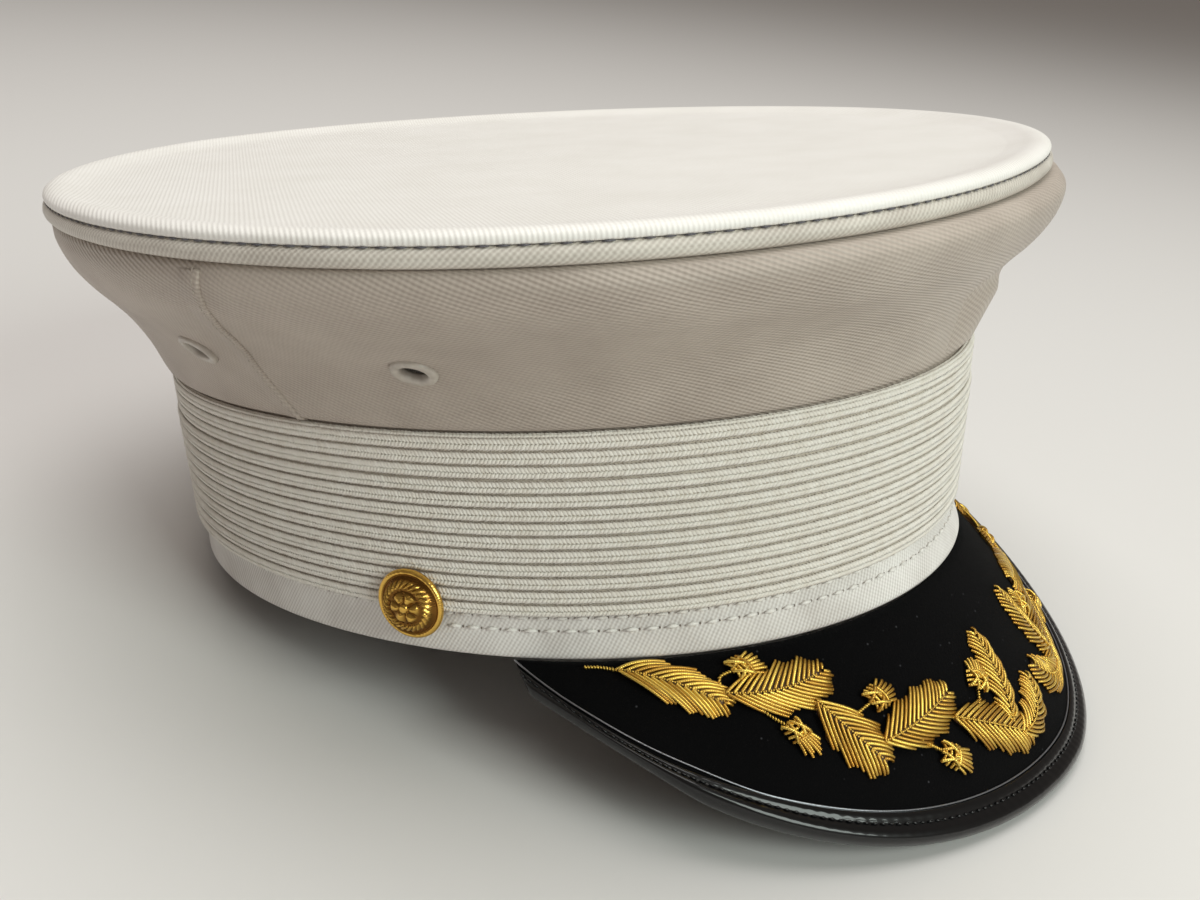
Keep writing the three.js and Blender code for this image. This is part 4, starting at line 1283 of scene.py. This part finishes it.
class CAP_OT_peak(CapOperator, bpy.types.Operator):
    """Build the felt-covered peak with its patent binding, silver wire and stitches"""

    bl_idname = "peaked_cap.peak"
    bl_label = "Peak"

    def build(self, settings):
        colours = settings.colours
        felt = wool_felt("black_wool_felt", colours.felt, colours.lint)
        patent = patent_leather("black_patent_leather", colours.patent)
        self.felt_board(felt)
        self.binding(patent)
        angles = np.linspace(-PEAK_END, PEAK_END, 900)
        self.wire(angles, settings)
        self.binding_stitches(angles, settings)

    def felt_board(self, felt):
        angles = np.linspace(-PEAK_END, PEAK_END, 180)
        inset = BOARD_INSET + CORNER_INSET * smoothstep(np.abs(angles), CORNER_TRIM_START, PEAK_END)
        trimmed = 1 - inset / peak_width(angles)
        rows = []
        upper, lower = np.linspace(0, 1, 22), np.linspace(1, 0, 10)
        for shares, depth in ((upper, 0.0), (lower, PEAK_THICKNESS)):
            for share in shares:
                normal = inner_normal(angles, share * trimmed)
                rows.append(peak_point(angles, share * trimmed)
                            - normal * (depth * slimming(angles))[:, None])
        mesh = bar_mesh("peak_felt", rows, side=11)
        board = new_piece(mesh, felt, "peak_board")

    def binding(self, patent):
        angles = np.linspace(-PEAK_END, PEAK_END, 640)
        width = peak_width(angles)
        pucker = PUCKER_HEIGHT * np.sin(np.linspace(0, PUCKERS * FULL_TURN, len(angles)))
        rows = []
        for inwards, up in BINDING_PROFILE:
            reach = max(0.0, 1 - abs(inwards - PUCKER_INSET) / PUCKER_REACH)
            proud = pucker * (reach if up > 0.5 else 0)
            shares = 1 - inwards / width
            normal = inner_normal(angles, shares)
            level = up * slimming(angles) if up < 0 else up + proud
            rows.append(peak_point(angles, shares) + normal * level[:, None])
        mesh = bar_mesh("peak_edge", rows, side=10)
        new_piece(mesh, patent, "peak_binding")

    def wire(self, angles, settings):
        inset = settings.peak.wire_inset / MM + WIRE_CORNER_INSET * smoothstep(
            np.abs(angles), WIRE_DRIFT_START, PEAK_CORNER)
        line = on_peak(angles, inset, np.full(len(angles), 0.25))
        silver = sewing_thread("silver_plated_wire", settings.colours.silver, linear("#8d8f96"),
                               roughness=0.3, metallic=0.9)
        lay_threads("peak_wire", [(line, False)], radius=WIRE_RADIUS, sides=8, material=silver)

    def binding_stitches(self, angles, settings):
        line = on_peak(angles, BINDING_STITCH_INSET, np.full(len(angles), 1.05))
        ups = peak_normal(angles, np.full(len(angles), 0.9))
        thread = sewing_thread("black_waxed_thread", linear("#17171a"), linear("#060607"),
                               roughness=0.25)
        lay_grains("peak_stitches", [(line, False)], [ups], [0.0],
                   spacing=settings.peak.edge_stitch_pitch, size=(1.75, 0.6, 0.5),
                   material=thread)


# Embroidery on the wearer's right, laid out flat in millimetres: along the peak from the middle
# of its front, and outwards from the band. Leaves: base, middle, tip and half-width.
LEAVES = (
    ((-102.5, 3.4), (-92.4, 7.6), (-84.8, 13.8), 7.3),
    ((-83.4, 10.8), (-71.4, 11.5), (-58.6, 9.0), 6.7),
    ((-65.0, 15.7), (-61.6, 24.0), (-57.2, 32.4), 7.4),
    ((-55.4, 27.8), (-44.2, 26.3), (-31.6, 23.6), 6.5),
    ((-35.0, 29.2), (-25.4, 35.2), (-15.4, 42.4), 6.3),
    ((-19.5, 37.4), (-14.8, 28.4), (-12.2, 16.6), 4.4),
    ((-18.2, 40.8), (-8.8, 39.4), (-3.2, 33.0), 4.7),
)
TWIGS = (
    ((-109.0, 2.4), (-105.5, 2.4), (-102.0, 3.4), (-98.6, 5.0)),
    ((-88.0, 11.0), (-84.6, 12.6), (-79.5, 11.2)),
    ((-70.5, 12.0), (-66.5, 14.4), (-63.8, 18.6)),
    ((-60.6, 26.0), (-57.0, 27.8), (-51.5, 27.4)),
    ((-42.0, 25.8), (-37.0, 28.0), (-32.0, 31.0)),
    ((-22.0, 38.0), (-19.6, 37.2), (-17.6, 34.0)),
    ((-21.5, 38.4), (-18.0, 40.6), (-13.6, 40.8)),
    ((-83.6, 12.4), (-82.4, 6.8), (-76.4, 4.8)),
    ((-79.5, 11.6), (-77.2, 16.8), (-73.6, 21.0)),
    ((-61.2, 22.0), (-56.4, 20.2), (-50.8, 18.6)),
    ((-49.2, 27.0), (-45.4, 31.4), (-41.4, 35.6)),
    ((-29.0, 32.6), (-25.4, 30.0), (-21.6, 25.6)),
)
# Acorns: middle, and the way they point
ACORNS = (
    ((-75.4, 4.7), (2.2, -0.5)),
    ((-73.0, 22.4), (0.8, 2.0)),
    ((-49.8, 18.3), (2.2, -0.6)),
    ((-40.6, 36.4), (1.8, 1.6)),
    ((-20.9, 24.6), (1.6, -1.7)),
)
# An oak leaf's half-width from base to tip, as a share of its widest lobe
LEAF_LOBES = (0.46, 0.84, 0.70, 1.0, 0.80, 1.04, 0.78, 0.80, 0.36)
THREAD_SWEEP = math.radians(40)
THREAD_RADIUS = 0.37
FELT_CLEAR = 0.2
LEAF_PADDING = 1.55
ACORN_LENGTH = 4.0
ACORN_WIDTH = 2.6
LONGEST_THREAD = 16
SHORTEST_THREAD = 0.6
# How much a thread ends short of or beyond the outline
THREAD_WANDER = (-0.15, 0.25)
MIDRIB_HALF_GAP = 0.25
RIB_HEIGHT = FELT_CLEAR + LEAF_PADDING * 0.98
RIB_END = 0.9
STEM_HEIGHT = 0.75
STEM_PITCH = 0.62
BEAD_TINT = 0.75
THREAD_TINTS = (0.3, 1.0)
# Length, width and height of a midrib's bead and of a stem's slanted turn
RIB_BEAD = (0.55, 0.62, 0.5)
STEM_BEAD = (0.62, 1.15, 0.9)
STEM_LEAN = math.radians(35)
# Padding under a leaf: shares of the leaf's width and of its threads' height, where it tapers
# towards the base, steps along it, and points over it and all round it
PAD_WIDTH = 0.8
PAD_HEIGHT = 0.7
PAD_TAPER = (-0.12, 0.42)
PAD_STEPS = 24
PAD_OVER = 9
PAD_POINTS = 2 * PAD_OVER - 2


class PeakArc:
    """Length along the middle of the peak's face from its front, and the angle it belongs to."""

    angles = np.linspace(-PEAK_END, PEAK_END, 400)
    lengths = arc_lengths(peak_point(angles, np.full(400, 0.5)))
    lengths = lengths - lengths[-1] / 2

    @classmethod
    def laid(cls, along, outwards, height, mirror):
        """Flat points on the peak's face, at a height above it, with the way up there."""
        angles = np.interp(along, cls.lengths, cls.angles)
        shares = outwards / peak_width(angles)
        normals = peak_normal(angles, shares)
        points = peak_point(angles, shares) + normals * np.reshape(height, (-1, 1))
        return points * (mirror, 1, 1), normals * (mirror, 1, 1)


def bowed(base, middle, tip, steps):
    """A curve through a middle point: its points and the unit directions along it."""
    base, middle, tip = map(np.array, (base, middle, tip))
    pull = 2 * middle - 0.5 * (base + tip)
    t = np.linspace(0, 1, steps)[:, None]
    points = (1 - t) ** 2 * base + 2 * t * (1 - t) * pull + t ** 2 * tip
    along = np.gradient(points, axis=0)
    return points, along / np.linalg.norm(along, axis=1, keepdims=True)


def lobed(share):
    """Half-width of a leaf at a share of its length, as rounded lobes."""
    last = len(LEAF_LOBES) - 1
    place = np.clip(share, 0, 1) * last
    low = np.minimum(place.astype(int), last - 1)
    ease = 0.5 - 0.5 * np.cos(HALF_TURN * (place - low))
    lobes = np.array(LEAF_LOBES)
    width = lobes[low] + (lobes[low + 1] - lobes[low]) * ease
    return np.where((share < 0) | (share > 1.03), 0.0, width)


class Leaf:
    """One flat oak leaf along its bowed midrib, and the bullion threads that fill it."""

    def __init__(self, base, middle, tip, half_width):
        self.half_width = half_width
        self.points, self.along = bowed(base, middle, tip, 60)
        self.lengths = arc_lengths(self.points)
        self.length = self.lengths[-1]

    def flat(self, forward, across):
        """A flat point at a distance along the midrib and to its side."""
        spots, ways = (
            np.stack([np.interp(forward, self.lengths, given[:, k]) for k in (0, 1)], -1)
            for given in (self.points, self.along))
        spots = spots + ways * np.maximum(forward - self.length, 0)[..., None]
        sides = np.stack([-ways[..., 1], ways[..., 0]], -1)
        return spots + sides * across[..., None]

    def reach(self, start):
        """How far a thread runs before it meets the outline."""
        run = np.linspace(0.3, LONGEST_THREAD, 160)
        inside = run * math.sin(THREAD_SWEEP) < self.half_width * lobed(
            (start + run * math.cos(THREAD_SWEEP)) / self.length)
        return run[np.argmin(inside)] if not inside.all() else run[-1]

    def threads(self, pitch, rng):
        """Flat points and heights of each thread, sweeping from the midrib to the outline."""
        spacing = pitch / math.sin(THREAD_SWEEP)
        for side in (-1, 1):
            for start in np.arange(0.3, self.length + 0.4, spacing):
                reach = self.reach(start) + rng.uniform(*THREAD_WANDER)
                if reach < SHORTEST_THREAD:
                    continue
                share = np.linspace(0, 1, 9)
                run = share * reach
                sweep = THREAD_SWEEP * (1.12 - 0.24 * share)
                across = side * (MIDRIB_HALF_GAP + run * np.sin(sweep))
                flat = self.flat(start + run * np.cos(sweep), across)
                fullness = LEAF_PADDING * (0.55 + 0.45 * min(1.0, reach / 6))
                height = FELT_CLEAR + fullness * (0.75 + 0.5 * share - 1.25 * share ** 2.6)
                yield flat, np.maximum(height, 0.12)


def cosine_dome(share):
    return np.sqrt(np.clip(1 - share ** 2, 0, 1))


def acorn_threads(acorn, rng):
    """Flat points and heights of an acorn: an uneven fan of threads for the nut, and a cup of
    wraps crossed by slanting ones."""
    middle, towards = np.array(acorn[0]), np.array(acorn[1])
    ahead = towards / np.linalg.norm(towards)
    aside = np.array([-ahead[1], ahead[0]])

    def laid(forward, across):
        return middle + forward[:, None] * ahead + across[:, None] * aside

    for spread in np.linspace(-1, 1, 7):
        share = np.linspace(0, 1, 8)
        tip = ACORN_LENGTH * (1.12 - 0.3 * spread ** 2) + rng.uniform(-0.6, 0.5)
        forward = -0.5 + (tip + 0.5) * share
        across = spread * ACORN_WIDTH * (0.62 + 0.5 * share)
        height = FELT_CLEAR + 0.15 + 1.15 * cosine_dome(share * 0.97) * (1 - 0.3 * spread ** 2)
        yield laid(forward, across), height
    for k, back in enumerate(np.linspace(0.2, -ACORN_LENGTH * 0.8, 4)):
        half = ACORN_WIDTH * 1.08 * cosine_dome(np.array(k / 5.0)) + 0.1
        share = np.linspace(-1, 1, 11)
        forward = back + 0.5 * (1 - share ** 2)
        height = FELT_CLEAR + 1.6 * cosine_dome(share * 0.96) * (1 - 0.05 * k)
        yield laid(forward, share * half), height
    for slant in (-1, 1):
        for place in (-0.5, 0.5):
            share = np.linspace(-1, 1, 9)
            across = ACORN_WIDTH * (place + 0.4 * slant * share)
            forward = -ACORN_LENGTH * 0.35 + ACORN_LENGTH * 0.5 * share
            height = FELT_CLEAR + 0.7 + 1.4 * cosine_dome(share * 0.96)
            yield laid(forward, across), height


class CAP_OT_sprays(CapOperator, bpy.types.Operator):
    """Embroider both oak sprays: padded leaves and acorns of bullion, with beaded ribs and stems"""

    bl_idname = "peaked_cap.sprays"
    bl_label = "Oak Sprays"

    def build(self, settings):
        colours = settings.colours
        gold = bullion("gilt_bullion_thread", colours.gold, colours.gold_shade)
        # The padding's dark brown is painted shade between the gold threads.
        padding = sewing_thread("padding_cord_painted_shade", linear("#5e3c10"), linear("#3a2408"))
        for side, mirror in SIDES:
            self.threads(side, mirror, settings, gold)
            self.padding(side, mirror, padding)
            self.beads(side, mirror, settings, gold)

    def threads(self, side, mirror, settings, gold):
        rng = np.random.default_rng(11)
        runs = []
        for leaf in LEAVES:
            runs += Leaf(*leaf).threads(settings.peak.thread_pitch / MM, rng)
        for acorn in ACORNS:
            runs += acorn_threads(acorn, rng)
        paths, tones_and_shades, alongs = [], [], []
        for flat, height in runs:
            points, _ = PeakArc.laid(flat[:, 0], flat[:, 1], height, mirror)
            paths.append((points, False))
            # Painted shade: each thread's random tone is darkened where it lies low over the felt,
            # towards its ends.
            tones_and_shades.append(rng.uniform(*THREAD_TINTS) * np.clip(0.3 + height / 2.0, 0, 1))
            alongs.append(arc_lengths(points))
        lay_threads(f"spray_threads_{side}", paths, radius=THREAD_RADIUS, sides=6,
                    material=gold, node=f"oak_spray_{side}",
                    attributes={"tone_and_shade": tones_and_shades, "along": alongs})

    def padding(self, side, mirror, cord):
        """Padded ground that shows between the threads, one closed lens for each leaf, coloured
        dark brown as painted shade in the gaps.
        """
        points, faces = [], []
        for leaf in LEAVES:
            shape = Leaf(*leaf)
            share = np.linspace(0.03, 0.97, PAD_STEPS)
            width = shape.half_width * lobed(share) * PAD_WIDTH * smoothstep(share, *PAD_TAPER)
            over = np.linspace(-1, 1, PAD_OVER)
            across = np.concatenate([over, -over[1:-1]])
            lens = np.concatenate([1 - over ** 2, np.zeros(PAD_OVER - 2)])
            first = len(points)
            for forward, half in zip(share * shape.length, width):
                flat = shape.flat(np.full(PAD_POINTS, forward), across * half)
                height = 0.1 + lens * LEAF_PADDING * PAD_HEIGHT * min(1.0, half / 3)
                points.extend(PeakArc.laid(flat[:, 0], flat[:, 1], height, mirror)[0])
            for a in range(first, len(points) - PAD_POINTS, PAD_POINTS):
                for j in range(PAD_POINTS):
                    k = (j + 1) % PAD_POINTS
                    b = a + PAD_POINTS
                    faces.append((a + j, a + k, b + k, b + j))
            for end in (first, len(points) - PAD_POINTS):
                faces.append(tuple(range(end, end + PAD_POINTS)))
        mesh = closed_mesh(f"spray_padding_{side}", np.array(points), faces)
        new_piece(mesh, cord)

    def beads(self, side, mirror, settings, gold):
        ribs, stems = [], []
        for leaf in LEAVES:
            flat, _ = bowed(*leaf[:3], 40)
            share = np.linspace(0, 1, 40)
            keep = share < RIB_END
            ribs.append((flat[keep], (RIB_HEIGHT - 0.7 * share ** 4)[keep]))
        for twig in TWIGS:
            smooth = smooth_rows(np.array(twig), 10)
            stems.append((smooth, np.full(len(smooth), STEM_HEIGHT)))
        looks = (
            ("ribs", ribs, settings.peak.bead_pitch, RIB_BEAD, 0.0),
            ("stems", stems, STEM_PITCH * MM, STEM_BEAD, STEM_LEAN),
        )
        for kind, runs, pitch, size, lean in looks:
            paths, ups = [], []
            for flat, height in runs:
                points, up = PeakArc.laid(flat[:, 0], flat[:, 1], height, mirror)
                paths.append((points, False))
                ups.append(up)
            count = len(paths)
            lay_grains(f"spray_{kind}_{side}", paths, ups, [lean * mirror] * count,
                       spacing=pitch, size=size, material=gold,
                       attributes={"tone_and_shade": [BEAD_TINT] * count, "along": [0.0] * count})


BUTTON_ANGLE = math.radians(7.5)
BUTTON_HEIGHT = 11.9
BUTTON_BACK = 2.6
# Button's cross-section: radius as a share of the outer one, and height above its back
BUTTON_PROFILE = np.array([
    (0.30, 0.0), (0.87, 0.0), (0.97, 0.2), (1.0, 0.6), (1.0, 1.0), (0.97, 1.4), (0.92, 1.6),
    (0.875, 1.5), (0.84, 1.35), (0.80, 1.6), (0.72, 2.15), (0.60, 2.7), (0.45, 3.1), (0.30, 3.35),
    (0.15, 3.5), (0.04, 3.52),
])
BUTTON_RELIEF = 0.75
BUTTON_SEGMENTS = 144
ROSETTE_PETALS = 6
WREATH_LEAVES = 26
# Edges of the relief as shares of the button's radius: where each starts and ends to rise
BOSS_FALL = (0.08, 0.16)
PETALS_RISE = (0.14, 0.22)
PETALS_FALL = (0.38, 0.46)
WREATH_RISE = (0.52, 0.57)
WREATH_FALL = (0.70, 0.76)
RIM_RISE = (0.84, 0.9)


class CAP_OT_buttons(CapOperator, bpy.types.Operator):
    """Build the gilt side buttons, with a plain rosette in a leaf wreath"""

    bl_idname = "peaked_cap.buttons"
    bl_label = "Buttons"

    def build(self, settings):
        colours = settings.colours
        gilt = gilt_brass("gilt_brass", colours.gilt, colours.gilt_shade)
        radius = settings.band.button_radius / MM
        profile = smooth_rows(BUTTON_PROFILE, 4) * (radius, 1)
        relief = self.relief(profile, radius)
        for side, angle in (("right", HALF_TURN + BUTTON_ANGLE), ("left", -BUTTON_ANGLE)):
            seat = seat_on(lambda height: band_at(height).shifted(BUTTON_BACK), angle,
                           BUTTON_HEIGHT, 1)
            grid = turned_grid(profile, seat, BUTTON_SEGMENTS)
            grid = grid + relief[..., None] * BUTTON_RELIEF * seat[1]
            poles = [seat[0], seat[0] + seat[1] * (profile[-1, 1] + BUTTON_RELIEF)]
            around = np.linspace(0, FULL_TURN * radius, BUTTON_SEGMENTS + 1)
            uv = metre_uv(len(grid), len(around), around, arc_lengths(grid[:, 0]))
            mesh = shell(f"side_button_{side}", grid, uv, poles=poles)
            raised = np.append(relief.ravel(), [0.0, 1.0])
            edge = smoothstep(profile[:, 0] / radius, *RIM_RISE)
            rim = np.append(np.repeat(edge, BUTTON_SEGMENTS), [0, 0])
            layer = mesh.attributes.new("relief", "FLOAT", "POINT")
            layer.data.foreach_set("value", np.maximum(raised, rim).astype(np.float32))
            new_piece(mesh, gilt, f"button_{side}")

    def relief(self, profile, radius):
        """How raised the face is: a boss, petals round it, and a wreath inside the rim."""
        share = (profile[:, 0] / radius)[:, None]
        turn = ring(BUTTON_SEGMENTS)[None, :]
        face = (np.arange(len(profile)) > len(profile) * 0.6)[:, None]
        boss = 1 - smoothstep(share, *BOSS_FALL)
        petals = (0.5 + 0.5 * np.cos(ROSETTE_PETALS * turn)) ** 0.6 * (
            smoothstep(share, *PETALS_RISE) - smoothstep(share, *PETALS_FALL))
        leaves = (0.5 + 0.5 * np.cos(WREATH_LEAVES * turn + 40 * (share - 0.6))) ** 0.7 * (
            smoothstep(share, *WREATH_RISE) - smoothstep(share, *WREATH_FALL))
        return np.where(face, np.maximum(boss, np.maximum(petals, leaves)), 0.0)


# Camera measured from the photo, in the band's frame: aim point and distance in millimetres,
# turn from the front and height above the band's plane in degrees, roll, and focal length in
# the photo's pixels
CAMERA_AIM = (0.0, -10.392, 16.958)
CAMERA_DISTANCE = 342.16
CAMERA_AZIMUTH = math.radians(-59.398)
CAMERA_ELEVATION = math.radians(18.682)
CAMERA_ROLL = math.radians(-3.515)
CAMERA_FOCAL_PX = 1265.76

# Soft boxes: name, place and side in metres, power in watts, and colour
SOFT_BOXES = (
    ("top_light", (0.1, 0.1, 1.6), 1.5, 21.5, "#fffdfa"),
    ("front_light", (-0.4, -1.35, 0.9), 0.8, 15.0, "#f4fff8"),
)
LIT_POINT = Vector((0, 0, 0.06))
ROOM_COLOUR = "#ece0d6"
ROOM_LIGHT = 0.24
FLOOR_HALF_SIDE = 20.0


class CAP_OT_stage(CapOperator, bpy.types.Operator):
    """Build the pale floor, the soft studio light and the camera at the photo's angle"""

    bl_idname = "peaked_cap.stage"
    bl_label = "Stage"

    def build(self, settings):
        scene = bpy.context.scene
        scene.view_settings.view_transform = "Standard"
        self.floor(settings.colours.floor)
        self.lights(scene)
        self.camera(scene)

    def floor(self, colour):
        paint = Surface("painted_studio_floor", colour, roughness=0.9)
        mesh = bpy.data.meshes.new("studio_floor")
        corners = [(x * FLOOR_HALF_SIDE, y * FLOOR_HALF_SIDE, 0)
                   for x, y in ((-1, -1), (1, -1), (1, 1), (-1, 1))]
        mesh.from_pydata(corners, [], [(0, 1, 2, 3)])
        mesh.materials.append(paint.material)
        linked(mesh)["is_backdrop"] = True

    def lights(self, scene):
        world = scene.world or bpy.data.worlds.new("studio")
        scene.world = world
        world.use_nodes = True
        background = world.node_tree.nodes["Background"]
        background.inputs["Color"].default_value = linear(ROOM_COLOUR)
        background.inputs["Strength"].default_value = ROOM_LIGHT
        for name, place, side, power, colour in SOFT_BOXES:
            light = bpy.data.lights.new(name, "AREA")
            light.size = side
            light.energy = power
            light.color = linear(colour)[:3]
            lamp = linked(light, name)
            facing = (Vector(place) - LIT_POINT).to_track_quat("Z", "Y").to_matrix().to_4x4()
            lamp.matrix_world = Matrix.Translation(place) @ facing

    def camera(self, scene):
        data = bpy.data.cameras.new("camera")
        data.sensor_width = SENSOR_WIDTH_MM
        data.lens = CAMERA_FOCAL_PX / PHOTO_WIDTH_PX * SENSOR_WIDTH_MM
        data.clip_start = 0.01
        back = Vector((
            math.sin(CAMERA_AZIMUTH) * math.cos(CAMERA_ELEVATION),
            -math.cos(CAMERA_AZIMUTH) * math.cos(CAMERA_ELEVATION),
            math.sin(CAMERA_ELEVATION),
        ))
        level = Vector((0, 0, 1)).cross(back).normalized()
        upright = back.cross(level)
        right = math.cos(CAMERA_ROLL) * level + math.sin(CAMERA_ROLL) * upright
        up = math.cos(CAMERA_ROLL) * upright - math.sin(CAMERA_ROLL) * level
        place = (Vector(CAMERA_AIM) + back * CAMERA_DISTANCE) * MM
        turned = Matrix((right, up, back)).transposed().to_4x4()
        scene.camera = linked(data, "camera")
        scene.camera.matrix_world = REST @ Matrix.Translation(place) @ turned


PIECE_OPERATORS = (
    CAP_OT_stage, CAP_OT_crown_wall, CAP_OT_crown_cover, CAP_OT_front_stay, CAP_OT_eyelets,
    CAP_OT_band, CAP_OT_braid, CAP_OT_peak, CAP_OT_sprays, CAP_OT_buttons,
)


class CAP_PT_panel(bpy.types.Panel):
    """Lists the cap's pieces and settings in the sidebar"""

    bl_idname = "CAP_PT_panel"
    bl_label = "Peaked Cap"
    bl_space_type = "VIEW_3D"
    bl_region_type = "UI"
    bl_category = "Peaked Cap"

    def draw(self, context):
        settings = context.scene.peaked_cap
        for operator in PIECE_OPERATORS:
            self.layout.operator(operator.bl_idname)
        for group in (settings.crown, settings.band, settings.peak, settings.colours):
            box = self.layout.box()
            for name in group.__annotations__:
                box.prop(group, name)


CLASSES = (
    CapCrownSettings, CapBandSettings, CapPeakSettings, CapColours, PeakedCapSettings,
    *PIECE_OPERATORS, CAP_PT_panel,
)


def register():
    for cls in CLASSES:
        bpy.utils.register_class(cls)
    bpy.types.Scene.peaked_cap = PointerProperty(type=PeakedCapSettings)


def unregister():
    del bpy.types.Scene.peaked_cap
    for cls in reversed(CLASSES):
        bpy.utils.unregister_class(cls)


def plain(box):
    """A box as plain lists of numbers."""
    return [[float(value) for value in corner] for corner in box]


def main():
    register()
    grain_rows_tree()
    thread_tree()
    for operator in PIECE_OPERATORS:
        group, name = operator.bl_idname.split(".")
        getattr(getattr(bpy.ops, group), name)()
    {"cad": plain(CAD_BOX), "visual": plain(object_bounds())}


if __name__ == "__main__":
    main()
